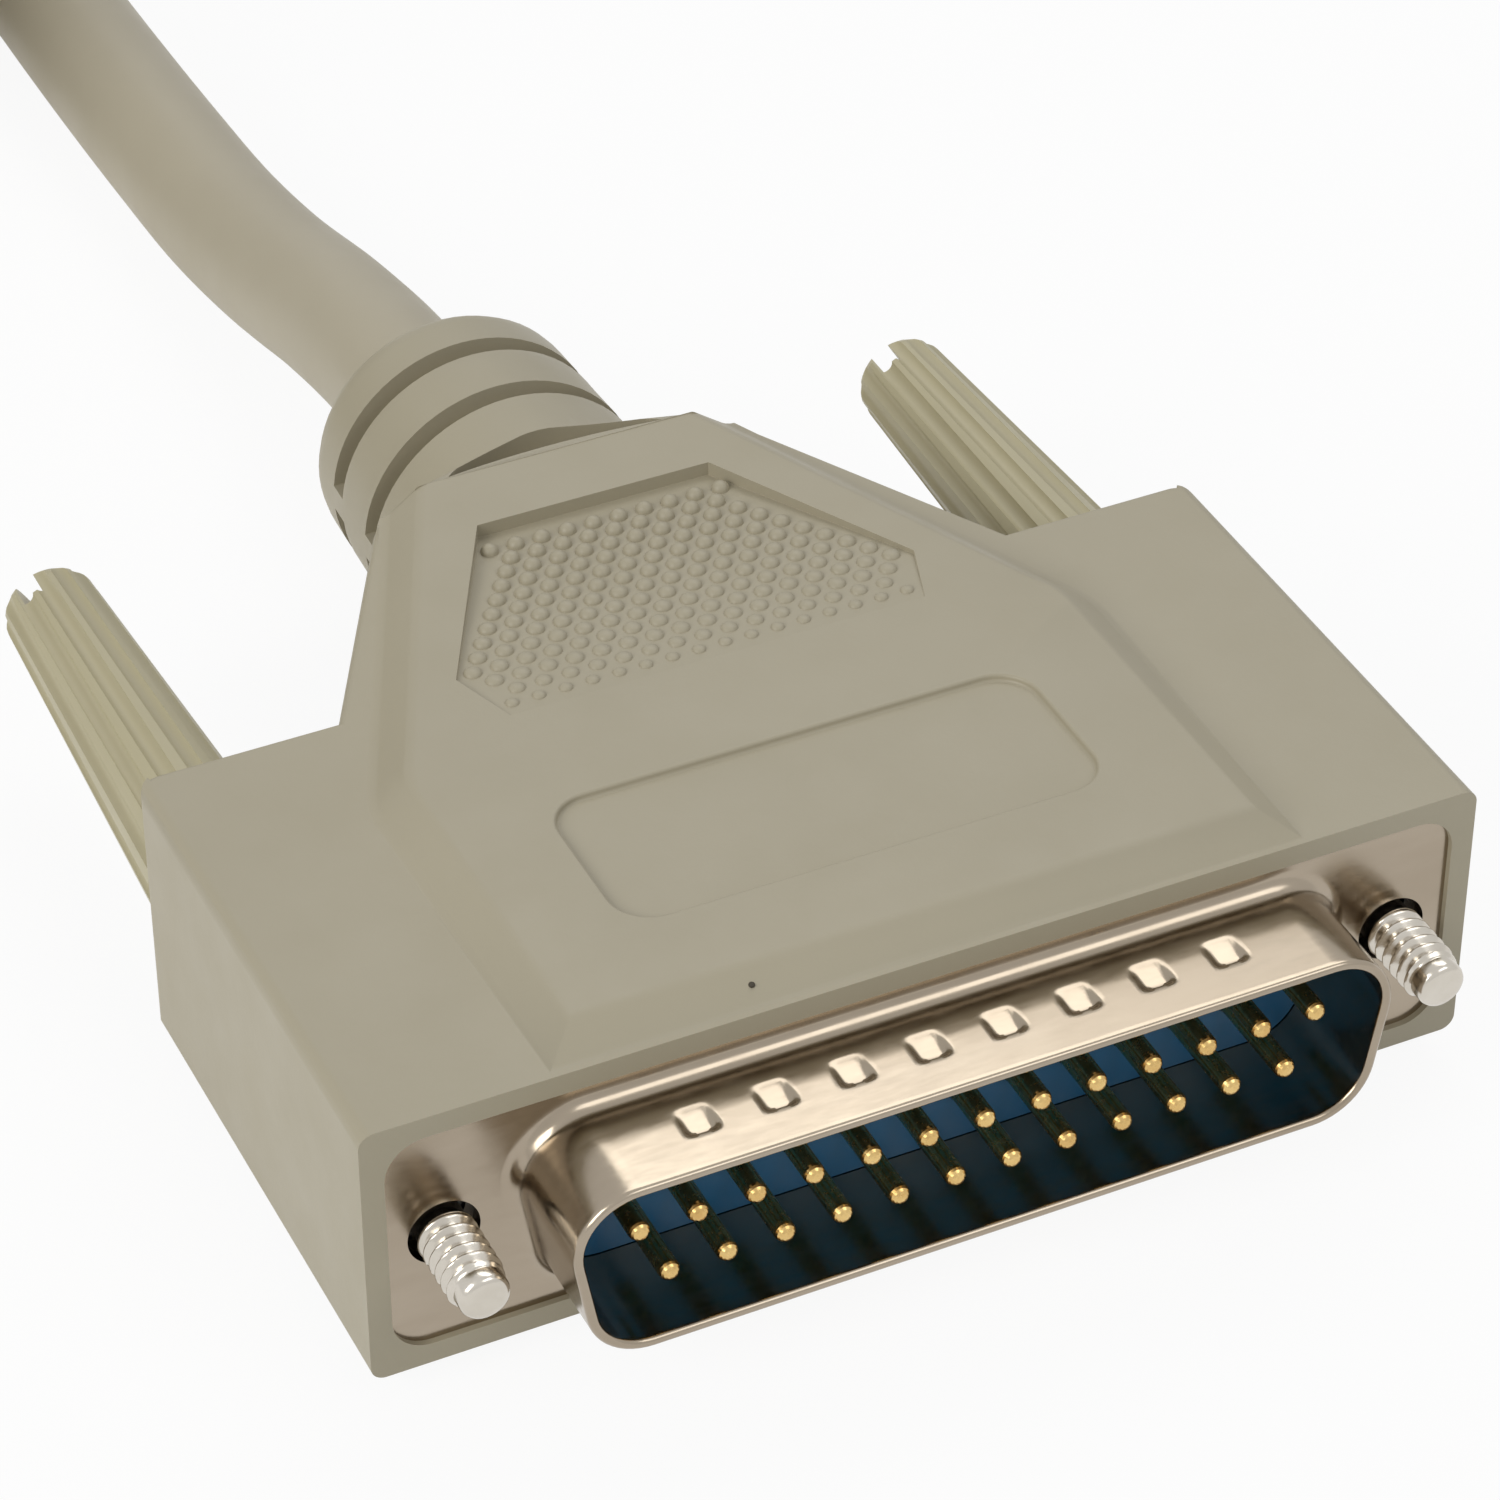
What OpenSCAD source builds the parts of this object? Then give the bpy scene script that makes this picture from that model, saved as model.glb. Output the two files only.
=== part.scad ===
// A 25-way D-sub plug on a moulded cable: hood, metal shells, contacts, two captive thumbscrews,
// and the cable itself, coiled, with the moulded socket on its other end.
//
// Each connector is drawn with the front face of its metal flange in the plane y = 0 and the middle of
// its D at the origin: X runs along the long side of the D, the mating face looks to -Y, Z is up.
// at_plug() and at_socket() then carry the pieces to the frame of the whole part, which stands on z = 0.
// All lengths are in millimetres.

/* [Contacts] */
// Distance between neighbouring contacts in a row
pitch = 2.76; // [2.70:0.01:2.80]
// Distance between the two rows of contacts
row_gap = 2.84; // [2.70:0.01:2.90]
// Diameter of a pin
pin_d = 1.02; // [0.90:0.01:1.10]
// How far the tips of the pins stay behind the rim of the shell
pin_recess = 0.6; // [0.4:0.1:1.5]
// Diameter of the collar that the two insulators hold
collar_d = 1.7; // [1.4:0.1:2.0]
// Outer diameter of the solder cup
cup_d = 1.6; // [1.4:0.05:1.8]
// Length of the solder cup behind the insulator
cup_length = 4.2; // [3:0.1:5]
// Diameter of one insulated conductor
wire_d = 0.76; // [0.6:0.02:0.9]
// Distance between the conductors where they enter the cable
wire_gap = 1.05; // [0.95:0.01:1.1]

/* [Metal shells] */
// From the last contact of the long row to the inside of the D's mouth
row_end = 2.92; // [2.8:0.02:3.1]
// Height inside the mouth of the D
mouth_h = 8.36; // [8.2:0.02:8.6]
// Radius inside the corners of the D
mouth_corner_r = 2.6; // [2:0.1:3]
// Slant of the short sides of the D, in degrees
slant = 10; // [8:0.5:12]
// How far the D stands in front of the flange
shell_reach = 5.9; // [5:0.1:6.5]
// Thickness of the drawn wall of the D
skirt_t = 0.5; // [0.4:0.05:0.6]
// Radius at the root of the D, where it turns into the flange
root_r = 0.9; // [0.5:0.1:1.2]
// From the middle of a screw hole to the end of the flange
flange_end = 3; // [2.8:0.02:3.3]
// Height of the flange
flange_h = 12.55; // [12.2:0.05:13]
// Thickness of each flange
flange_t = 0.8; // [0.6:0.05:1]
// Radius at the corners of the flange
flange_corner_r = 2.2; // [1:0.1:3]
// From the inside of the D's mouth to the middle of a screw hole
screw_out = 4.04; // [3.9:0.02:4.2]
// Diameter of the screw holes in the flanges
flange_hole_d = 3.4; // [3.1:0.1:3.6]
// Distance between the grounding dimples
dimple_gap = 3.68; // [3:0.02:4]
// Length of a dimple, measured along the D's reach
dimple_l = 1.6; // [1:0.1:2]
// Depth of a dimple
dimple_depth = 0.28; // [0.15:0.01:0.35]
// How far the rear shell's wall stands outside the mouth's inner outline
rear_step = 1.15; // [1:0.05:1.4]
// How far the rear shell reaches behind its flange
rear_reach = 4.6; // [4:0.1:5.5]

/* [Insulators] */
// Play between an insulator and the shell round it
insulator_play = 0.05; // [0.02:0.01:0.1]
// How far the front insulator reaches behind the flange's front face
front_block = 3.0; // [2.6:0.1:3.4]
// Length of the rear insulator
rear_block = 2.6; // [2:0.1:3]

/* [Hood] */
// Moulding beside each end of the flange
side_rim = 0.8; // [0.4:0.05:1]
// Moulding above and below the flange
top_rim = 0.8; // [0.6:0.05:1.2]
// How far the moulding laps over the edge of the flange
lap = 0.3; // [0.2:0.05:0.6]
// Thickness of that lap, in front of the flange
lap_t = 0.3; // [0.2:0.05:0.5]
// Depth of the two wings, from the flange to their back
wing_depth = 26.5; // [25.5:0.5:28]
// Radius of the wings' edges
wing_r = 1.2; // [0.8:0.1:1.6]
// Height of the raised middle above and below the wings
rise = 1.3; // [1:0.1:1.6]
// Width of the raised middle at its foot
middle_w = 36.8; // [36:0.1:38]
// How far the slope round the raised middle leans in
slope = 1.8; // [1.4:0.1:2.2]
// Where the sides of the raised middle turn in towards the cable
shoulder_y = 19.8; // [18:0.1:21]
// Radius of that turn
shoulder_r = 5; // [3:0.5:7]
// Where the neck of the hood ends
neck_y = 40.5; // [39:0.5:42]
// Width of the neck's flat top at its end
neck_top_w = 14.6; // [13:0.2:16]
// Width of the neck's body at its end
neck_w = 20.4; // [19.6:0.2:22]

/* [Grip and label recess] */
// Where the grip recess starts, behind the flange
grip_y = 22; // [21.5:0.1:23]
// Length of the grip recess
grip_l = 14.3; // [12:0.1:14.6]
// Width of the grip recess at its widest place
grip_w = 23.6; // [22:0.2:24.4]
// Width of the grip recess at the cable's side
grip_back_w = 12.2; // [11:0.2:12.8]
// Depth of the grip recess at the cable's side
grip_depth = 0.75; // [0.4:0.05:1]
// Width of the label recess
label_w = 24; // [20:0.2:26]
// Length of the label recess
label_l = 9.2; // [7:0.1:10]
// Middle of the label recess, behind the flange
label_y = 10.7; // [9.5:0.1:11.5]
// Radius at the label recess's corners
label_r = 2; // [1:0.1:3]
// Depth of the label recess
label_depth = 0.35; // [0.2:0.05:0.5]

/* [Strain relief] */
// Length of the strain relief behind the neck
relief_l = 16.2; // [15:0.1:20]
// Diameter at the neck
relief_d1 = 15.6; // [15.2:0.1:16.2]
// Diameter in front of its rounded end
relief_d2 = 14.5; // [13:0.1:15]
// Diameter of the end face that the cable leaves
relief_d3 = 9; // [8.6:0.1:10.4]
// Length of that rounded end
relief_round = 2.3; // [1.5:0.1:4]
// Distance from the neck to the first ring groove
groove_start = 6.8; // [6:0.1:7.5]
// Distance between the two ring grooves
groove_gap = 4.6; // [4.2:0.1:5]
// Width of a groove
groove_w = 1.3; // [0.8:0.1:1.6]
// Depth of a groove
groove_depth = 1.3; // [0.8:0.1:1.6]
// Width of the crescent that is cut in the top and the bottom beside the neck
crescent_w = 2; // [1.6:0.1:3]
// Depth of the crescent
crescent_depth = 1.7; // [1:0.1:2]
// Thickness of the side webs that cross the grooves
web_t = 1.4; // [1:0.1:2.4]

/* [Thumbscrews] */
// Outer diameter of the thread
screw_d = 2.76; // [2.7:0.02:2.9]
// Diameter of the plain shank behind the thread
shank_d = 2.4; // [2.3:0.05:2.45]
// How far the screw stands in front of the flange
screw_reach = 4.7; // [4:0.1:6]
// How far a thumbscrew can be drawn back
screw_travel = 4.5; // [3:0.1:5]
// Play round the thread in the hood, which the screw is fitted through
screw_play = 0.08; // [0.04:0.01:0.1]
// Diameter of the fluted head at the hood
head_d1 = 6.8; // [6:0.1:7.2]
// Diameter of the fluted head at its far end
head_d2 = 4.9; // [4.4:0.1:5.4]
// Length of the fluted head
head_l = 23.8; // [18:0.2:25]
// Diameter of one flute
flute_d = 0.95; // [0.7:0.05:1.1]
// Width of the screwdriver slot
slot_w = 1.1; // [0.8:0.1:1.4]
// Depth of the screwdriver slot
slot_depth = 2; // [1:0.1:2.6]
// Lean of the screwdriver slot from level, in degrees
slot_turn = 122; // [0:1:179]
// Outer diameter of the retaining clip
clip_d = 4.5; // [4.2:0.1:4.6]
// Diameter of the groove that the clip sits in
clip_groove_d = 1.9; // [1.8:0.05:2.1]
// Thickness of the retaining clip
clip_t = 0.6; // [0.5:0.05:0.7]
// Play between the clip and the bottom of its groove
clip_play = 0.08; // [0.06:0.01:0.1]

/* [Cable] */
// Diameter of the cable
cable_d = 7.4; // [6.8:0.1:7.8]
// Length of the crimped sleeve on the jacket's end
sleeve_l = 5; // [3:0.5:6]
// Wall of the crimped sleeve
sleeve_t = 0.5; // [0.4:0.1:0.8]

/* [Socket on the far end] */
// Clearance at each end between the socket's shell and the plug's
socket_end_play = 0.33; // [0.25:0.01:0.4]
// Clearance at each long side between the socket's shell and the plug's
socket_side_play = 0.23; // [0.15:0.01:0.3]
// How far the socket's shell stands in front of its flange
socket_reach = 6.1; // [5.5:0.1:6.4]
// Distance across the flats of a jack nut
jack_af = 5; // [4.7:0.1:5.5]
// Length of a jack nut in front of the flange
jack_l = 4.6; // [4:0.1:6]

/* [Hidden] */
LONG_ROW = 13;
SHORT_ROW = 12;
CONTACTS = LONG_ROW + SHORT_ROW;
DIMPLES = 8;
FLUTES = 14;
EPS = 0.01;
$fn = 48;

// Widths that follow from the long row of contacts, outwards
mouth_w = (LONG_ROW - 1) * pitch + 2 * row_end;
screw_gap = mouth_w + 2 * screw_out;
flange_w = screw_gap + 2 * flange_end;
socket_w = mouth_w - 2 * socket_end_play;
socket_h = mouth_h - 2 * socket_side_play;

// Levels of the plug, measured from the flange's front face along +Y
pin_tip_y = -(shell_reach - pin_recess);
flanges_t = 2 * flange_t;
joint_y = front_block;                      // where the two insulators meet
cup_y = joint_y + rear_block;               // back of the rear insulator
cup_end_y = cup_y + cup_length;
relief_y = neck_y + relief_l;
head_y = wing_depth + 0.2;                  // front of a thumbscrew's head, clear of the hood
clip_y = flanges_t + 0.2;                   // front of a retaining clip
pocket_end_y = clip_y + clip_t + screw_travel + 0.2;
mould_y = rear_reach + flanges_t;           // back of the rear shell
mould_end_y = neck_y - 6.5;
cable_start_y = neck_y - 2.5;

// Sizes that follow from others
wing_h = flange_h + 2 * top_rim;
hood_w = flange_w + 2 * side_rim;
hood_h = wing_h + 2 * rise;
mould_h = flange_h - 2;
mould_w = mouth_w + 2 * rear_step - 2 * skirt_t;
sleeve_d = cable_d + 2 * sleeve_t;
clip_pocket_d = clip_d + 0.5;
screw_bore_d = screw_d + 2 * screw_play;
contact_play = 0.03;                        // round a contact in an insulator
wire_bore_d = cup_d + 2 * contact_play;

// Frame of the whole part: origin under the middle of the plug
middle_y = (relief_y - shell_reach) / 2;
axis_z = hood_h / 2;

// The cable's route in that frame. It leaves the relief level, sags to the surface and runs back.
cable_run = [
    [0, 12.8, 8.4], [0, 31.3, 8.4], [0, 38, 7.9], [0, 45, 6.6], [-0.3, 53, 4.9], [-0.6, 61, 3.9],
    [-0.8, 69, 3.7], [-1, 80, 3.7], [-1, 98, 3.7], [-1, 118, 3.7]
];
// The coil beside the end of that run
coil_centre = [-41.7, 118];
coil_mid_r = 37;
coil_columns = 2;
coil_layers = 4;
// The tail from the coil's last turn, over the coil's top, to the socket that lies on the coil
cable_tail = [
    [-21.4, 82.8, 25.9], [-10.5, 91.8, 27.8], [-3.5, 104.1, 31.4], [-1, 118, 33.3], [-1, 129, 33.6],
    [-5, 144, 34.2], [-16, 155, 35.2], [-31, 159, 36.3], [-46, 155, 37.2], [-57, 144, 37.8],
    [-61, 129, 38], [-61, 121.9, 38]
];
socket_at = [-61, 71, coil_layers * cable_d + axis_z];     // middle of its flange
tie_angle = 150;
tie_w = 5;
tie_t = 1.2;

// ---------- frames ----------

// A piece of the plug, from its drawing frame to the frame of the whole part
module at_plug() {
    translate([0, -middle_y, axis_z]) children();
}

// A piece of the socket on the far end, which looks the same way
module at_socket() {
    translate(socket_at) children();
}

// A flat outline drawn in X and Z, pushed from y0 to y1
module along_y(y0, y1) {
    translate([0, y1, 0]) rotate([90, 0, 0]) linear_extrude(y1 - y0) children();
}

// A turned piece drawn as [radius, y] points
module turned(points) {
    rotate([-90, 0, 0]) rotate_extrude() polygon([for (p = points) [p[0], p[1]]]);
}

// A round bar or bore from y0 to y1, at x and z
module bar(d, y0, y1, x = 0, z = 0) {
    translate([x, y0, z]) rotate([-90, 0, 0]) cylinder(d = d, h = y1 - y0);
}

// ---------- outlines ----------

// A rectangle with true round corners
module rounded_rect(w, h, r) {
    square([w - 2 * r, h], center = true);
    square([w, h - 2 * r], center = true);
    for (x = [-1, 1], y = [-1, 1]) translate([x * (w / 2 - r), y * (h / 2 - r)]) circle(r);
}

function arc(centre, r, a0, a1, n) =
    [for (i = [0:n]) let(a = a0 + (a1 - a0) * i / n) centre + r * [cos(a), sin(a)]];

// The D, wide side up: a slanted rectangle with round corners, moved outwards by off
function d_points(w, h, off = 0, n = 6) =
    let(
        r = mouth_corner_r,
        up = h / 2 - r,
        top_x = w / 2 - r,
        low_x = top_x - 2 * up * tan(slant),
        right = concat(arc([low_x, -up], r + off, -90, -slant, n), arc([top_x, up], r + off, -slant, 90, n))
    )
    concat(right, [for (i = [len(right) - 1:-1:0]) [-right[i][0], right[i][1]]]);

// A corner of an outline, rounded to r
function unit(v) = v / norm(v);
function rounded_corner(a, b, c, r, n) =
    let(
        u = unit(a - b),
        v = unit(c - b),
        half = acos(u * v) / 2,
        centre = b + unit(u + v) * r / sin(half),
        start = b + u * r / tan(half) - centre,
        end = b + v * r / tan(half) - centre,
        a0 = atan2(start[1], start[0]),
        turn = ((atan2(end[1], end[0]) - a0 + 540) % 360) - 180
    )
    arc(centre, r, a0, a0 + turn, n);

// ---------- lofts and sweeps ----------

// A solid skinned over rings that have the same number of points; closed = true joins the last to the first
module skin(rings, closed = false) {
    n = len(rings[0]);
    m = len(rings);
    sides = [
        for (i = [0:(closed ? m - 1 : m - 2)], j = [0:n - 1])
            let(a = i * n, b = ((i + 1) % m) * n, k = (j + 1) % n)
            each [[a + j, a + k, b + k], [a + j, b + k, b + j]]
    ];
    ends = closed ? [] : [[for (j = [n - 1:-1:0]) j], [for (j = [0:n - 1]) (m - 1) * n + j]];
    polyhedron(points = [for (ring = rings) each ring], faces = concat(sides, ends), convexity = 8);
}

// A tube of the given width along a line that never points straight up
module sweep(line, d, sides) {
    last = len(line) - 1;
    rings = [
        for (i = [0:last])
            let(
                ahead = unit(line[min(i + 1, last)] - line[max(i - 1, 0)]),
                side = unit(cross(ahead, [0, 0, 1])),
                up = cross(side, ahead)
            )
            [for (j = [0:sides - 1]) let(a = 360 * (j + 0.5) / sides) line[i] + d / 2 * (cos(a) * side + sin(a) * up)]
    ];
    skin(rings);
}

// ---------- metal shells ----------

// The drawn wall of a shell: it flares into the flange at its root and is rounded at its rim
module skirt(w, h, reach, flange_back) {
    rim_r = skirt_t / 2;
    root_steps = 5;
    outline = concat(
        [[flange_back, 0]],
        [for (a = [180:-45:0]) [-reach + rim_r - rim_r * sin(a), rim_r + rim_r * cos(a)]],
        [for (i = [root_steps:-1:0]) let(a = 90 * i / root_steps)
            [-root_r + root_r * cos(a), skirt_t + root_r * (1 - sin(a))]],
        [[flange_back, root_r + skirt_t]]
    );
    skin([for (p = outline) [for (q = d_points(w, h, p[1])) [q[0], p[0], q[1]]]], closed = true);
}

// A flange with the opening of the D and the two screw holes
module flange(y0, hole_w, hole_h, hole_off) {
    difference() {
        along_y(y0, y0 + flange_t) rounded_rect(flange_w, flange_h, flange_corner_r);
        along_y(y0 - 1, y0 + flange_t + 1) polygon(d_points(hole_w, hole_h, hole_off));
        for (x = [-1, 1]) bar(flange_hole_d, y0 - 1, y0 + flange_t + 1, x * screw_gap / 2);
    }
}

// A grounding dimple: pressed in square, deepest on the flange's side, shallow towards the rim
module dimple_shape(grow) {
    w = 1.3 + 2 * grow;
    l = dimple_l + 2 * grow;
    rotate([90, 0, 90])
        translate([0, 0, -w / 2])
            linear_extrude(w)
                polygon([[-l / 2, EPS], [-l / 2, -0.1], [l / 2 - 0.2, -dimple_depth], [l / 2, EPS]]);
}

// The row of dimples on the D's wide side
module dimples(grow, sink) {
    for (i = [0:DIMPLES - 1])
        translate([(i - (DIMPLES - 1) / 2) * dimple_gap, -shell_reach / 2 + 0.1, mouth_h / 2 + skirt_t - sink])
            dimple_shape(grow);
}

module front_shell() {
    color("#b9b2a2") at_plug() {
        difference() {
            union() {
                flange(0, mouth_w, mouth_h, skirt_t);
                skirt(mouth_w, mouth_h, shell_reach, flange_t);
                // the metal that each dimple pushes inwards
                intersection() {
                    dimples(0.1, skirt_t);
                    along_y(-shell_reach, 0) polygon(d_points(mouth_w, mouth_h, EPS));
                }
            }
            dimples(0, 0);
        }
    }
}

module rear_shell() {
    color("#a9a294") at_plug() {
        difference() {
            union() {
                flange(flange_t, mouth_w, mouth_h, 0);
                along_y(flange_t, mould_y) polygon(d_points(mouth_w, mouth_h, rear_step));
            }
            along_y(flange_t - 1, mould_y + 1) polygon(d_points(mouth_w, mouth_h, rear_step - skirt_t));
        }
    }
}

// ---------- insulators and contacts ----------

// Middle of contact i, counted from 0: the long row first, each row from left to right
function contact_x(i) = i < LONG_ROW
    ? (i - (LONG_ROW - 1) / 2) * pitch
    : (i - LONG_ROW - (SHORT_ROW - 1) / 2) * pitch;
function contact_z(i) = (i < LONG_ROW ? 1 : -1) * row_gap / 2;

// Something at every contact
module at_contacts() {
    for (i = [0:CONTACTS - 1]) translate([contact_x(i), 0, contact_z(i)]) children();
}

collar_t = 0.8;

module front_insulator() {
    color("#0a3a66") at_plug() {
        difference() {
            union() {
                along_y(0, joint_y) polygon(d_points(mouth_w, mouth_h, -insulator_play));
                // the step that the rear shell traps against the front flange
                along_y(flange_t, joint_y) polygon(d_points(mouth_w, mouth_h, rear_step - skirt_t - insulator_play));
            }
            at_contacts() bar(pin_d + 2 * contact_play, -1, joint_y + 1);
            at_contacts() bar(collar_d + 2 * contact_play, joint_y - collar_t / 2, joint_y + 1);
        }
    }
}

module rear_insulator() {
    color("#0c4374") at_plug() {
        difference() {
            along_y(joint_y, cup_y) polygon(d_points(mouth_w, mouth_h, rear_step - skirt_t - insulator_play));
            at_contacts() bar(cup_d + 2 * contact_play, joint_y - 1, cup_y + 1);
            at_contacts() bar(collar_d + 2 * contact_play, joint_y - 1, joint_y + collar_t / 2);
        }
    }
}

// One contact: a pin with a round tip, the collar that holds it, and a solder cup cut half open
module contact(i) {
    pin_r = pin_d / 2;
    cup_depth = cup_length - 1.2;
    cup_bore_d = wire_d + 0.1;
    color("#c9a44c") at_plug() translate([contact_x(i), 0, contact_z(i)]) {
        difference() {
            turned(concat(
                [for (a = [0:15:90]) [pin_r * sin(a), pin_tip_y + pin_r * (1 - cos(a))]],
                [
                    [pin_r, joint_y - collar_t / 2], [collar_d / 2, joint_y - collar_t / 2],
                    [collar_d / 2, joint_y + collar_t / 2], [cup_d / 2, joint_y + collar_t / 2],
                    [cup_d / 2, cup_end_y], [0, cup_end_y]
                ]
            ));
            bar(cup_bore_d, cup_end_y - cup_depth, cup_end_y + 1);
            // the open half of the cup looks away from the other row
            translate([-cup_d, cup_end_y - cup_depth + 0.5, contact_z(i) > 0 ? 0.1 : -0.1 - cup_d])
                cube([2 * cup_d, cup_depth, cup_d]);
        }
    }
}

module contact_01() { contact(0); }
module contact_02() { contact(1); }
module contact_03() { contact(2); }
module contact_04() { contact(3); }
module contact_05() { contact(4); }
module contact_06() { contact(5); }
module contact_07() { contact(6); }
module contact_08() { contact(7); }
module contact_09() { contact(8); }
module contact_10() { contact(9); }
module contact_11() { contact(10); }
module contact_12() { contact(11); }
module contact_13() { contact(12); }
module contact_14() { contact(13); }
module contact_15() { contact(14); }
module contact_16() { contact(15); }
module contact_17() { contact(16); }
module contact_18() { contact(17); }
module contact_19() { contact(18); }
module contact_20() { contact(19); }
module contact_21() { contact(20); }
module contact_22() { contact(21); }
module contact_23() { contact(22); }
module contact_24() { contact(23); }
module contact_25() { contact(24); }

// ---------- inside the hood ----------

// Place of contact i's conductor where the bundle enters the cable: five columns of five, in the order
// of the contacts along X, the long row's conductors above the short row's
function slot_of(i) = i < LONG_ROW ? 2 * i : 2 * (i - LONG_ROW) + 1;
function bundle_x(i) = (floor(slot_of(i) / 5) - 2) * wire_gap;
function bundle_z(i) =
    let(
        column = floor(slot_of(i) / 5),
        step = (slot_of(i) % 5 - (slot_of(i) % 2 == 5 * column % 2 ? 0 : 1)) / 2,
        even = slot_of(i) % 2 == 0,
        uppers = column % 2 == 0 ? 3 : 2
    )
    (2 - (even ? step : uppers + step)) * wire_gap;

module conductor(i, grow) {
    a = [contact_x(i), 0, contact_z(i)];
    b = [bundle_x(i), 0, bundle_z(i)];
    start = cup_end_y + 0.05;
    turn_in = cup_end_y + 1.6;
    turn_out = mould_end_y - 1;
    path = [
        a + [0, start - grow, 0], a + [0, turn_in, 0], a + (b - a) * 0.04 + [0, turn_in + 1, 0],
        b + (a - b) * 0.04 + [0, turn_out - 1, 0], b + [0, turn_out, 0], b + [0, cable_start_y, 0]
    ];
    sweep(path, wire_d + 2 * grow, 6);
}

module conductors() {
    color("#8d8f94") at_plug() for (i = [0:CONTACTS - 1]) conductor(i, 0);
}

// Outline of the block that is moulded round the solder cups and the fan of conductors
module inner_block(grow) {
    end_half = sleeve_d / 2 + grow;
    half = mould_w / 2 - 1.2 + grow;
    translate([0, 0, -mould_h / 2 - grow])
        linear_extrude(mould_h + 2 * grow)
            polygon([
                [-half, mould_y], [half, mould_y], [half, mould_y + 6],
                [end_half, mould_end_y], [-end_half, mould_end_y], [-half, mould_y + 6]
            ]);
}

module inner_mould() {
    color("#d9d6cc") at_plug() {
        difference() {
            union() {
                along_y(cup_y, mould_y) polygon(d_points(mouth_w, mouth_h, rear_step - skirt_t));
                intersection() {
                    inner_block(0);
                    along_y(mould_y - 1, mould_end_y + 1) square([hood_w, mould_h], center = true);
                }
            }
            at_contacts() bar(wire_bore_d, cup_y - 1, cup_end_y + 0.05);
            for (i = [0:CONTACTS - 1]) conductor(i, 0.02);
        }
    }
}

// The metal sleeve that grips the end of the jacket inside the hood
module crimp_sleeve() {
    color("#b7b7b7") at_plug() difference() {
        bar(sleeve_d, cable_start_y, cable_start_y + sleeve_l);
        bar(cable_d + 0.04, cable_start_y - 1, cable_start_y + sleeve_l + 1);
    }
}

// ---------- the moulded hood ----------

// Outline of the raised middle and neck, leaning in by inset everywhere but at the neck's end
function middle_outline(inset, end_w) =
    let(
        w = middle_w / 2 - inset,
        front = inset,
        shoulder = rounded_corner([w, front], [w, shoulder_y], [end_w / 2, neck_y], shoulder_r, 6),
        right = concat([[w, front]], shoulder, [[end_w / 2, neck_y]])
    )
    concat(right, [for (i = [len(right) - 1:-1:0]) [-right[i][0], right[i][1]]]);

module slab(h, y0 = 0) {
    translate([0, 0, -h / 2]) linear_extrude(h) children();
}

// The part of the hood in which both its long edges and its upright edges are round
module wings() {
    intersection() {
        along_y(-lap_t, wing_depth) rounded_rect(hood_w, wing_h, wing_r * 0.6);
        slab(wing_h + 1)
            translate([0, (wing_depth - lap_t) / 2])
                rounded_rect(hood_w, wing_depth + lap_t, wing_r);
        // the front corners stay sharper than the rear ones
    }
    along_y(-lap_t, wing_r + 1) rounded_rect(hood_w, wing_h, wing_r * 0.6);
}

module raised_middle() {
    foot_end = middle_w / 2 - (neck_y - shoulder_y) * (middle_w - 2 * slope - neck_top_w) / 2 / (neck_y - shoulder_y);
    hull() {
        slab(wing_h) polygon(middle_outline(0, 2 * foot_end));
        slab(hood_h) polygon(middle_outline(slope, neck_top_w));
    }
}

module neck() {
    wing_side = 17.3;
    slab(wing_h)
        polygon([
            [-wing_side, wing_depth - wing_r], [wing_side, wing_depth - wing_r], [wing_side, wing_depth],
            [neck_w / 2, neck_y - 1], [neck_w / 2 - 1, neck_y],
            [-neck_w / 2 + 1, neck_y], [-neck_w / 2, neck_y - 1], [-wing_side, wing_depth]
        ]);
}

// Radius of the strain relief at a distance behind the neck
function relief_r(y) = (relief_d1 + (relief_d2 - relief_d1) * y / (relief_l - relief_round)) / 2;

module relief_body() {
    end_r = relief_d3 / 2;
    turned(concat(
        [[0, neck_y - 3], [relief_r(0), neck_y - 3]],
        [for (y = [0, relief_l - relief_round]) [relief_r(y), neck_y + y]],
        [for (a = [15:15:75])
            [end_r + (relief_d2 / 2 - end_r) * cos(a), relief_y - relief_round * (1 - sin(a))]],
        [[end_r, relief_y], [0, relief_y]]
    ));
}

// Skin that carries the neck's corners into the round of the relief
module relief_blend() {
    blend_l = 2.6;
    hull() {
        translate([0, neck_y - 0.5, 0]) along_y(0, 0.5) polygon([
            [neck_w / 2 - 1, wing_h / 2 - 1], [neck_top_w / 2, hood_h / 2 - 0.1],
            [-neck_top_w / 2, hood_h / 2 - 0.1], [1 - neck_w / 2, wing_h / 2 - 1],
            [1 - neck_w / 2, 1 - wing_h / 2], [-neck_top_w / 2, 0.1 - hood_h / 2],
            [neck_top_w / 2, 0.1 - hood_h / 2], [neck_w / 2 - 1, 1 - wing_h / 2]
        ]);
        bar(2 * relief_r(blend_l), neck_y + blend_l, neck_y + blend_l + 0.1, $fn = 40);
    }
}

// A groove from above and below; the webs at the sides keep the relief in one piece
module relief_groove(y) {
    floor_r = relief_r(y - neck_y) - groove_depth;
    difference() {
        bar(2 * relief_d1, y - groove_w / 2, y + groove_w / 2);
        bar(2 * floor_r, y - groove_w, y + groove_w);
        translate([-relief_d1, y - groove_w, -web_t / 2]) cube([2 * relief_d1, 2 * groove_w, web_t]);
    }
}

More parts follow.
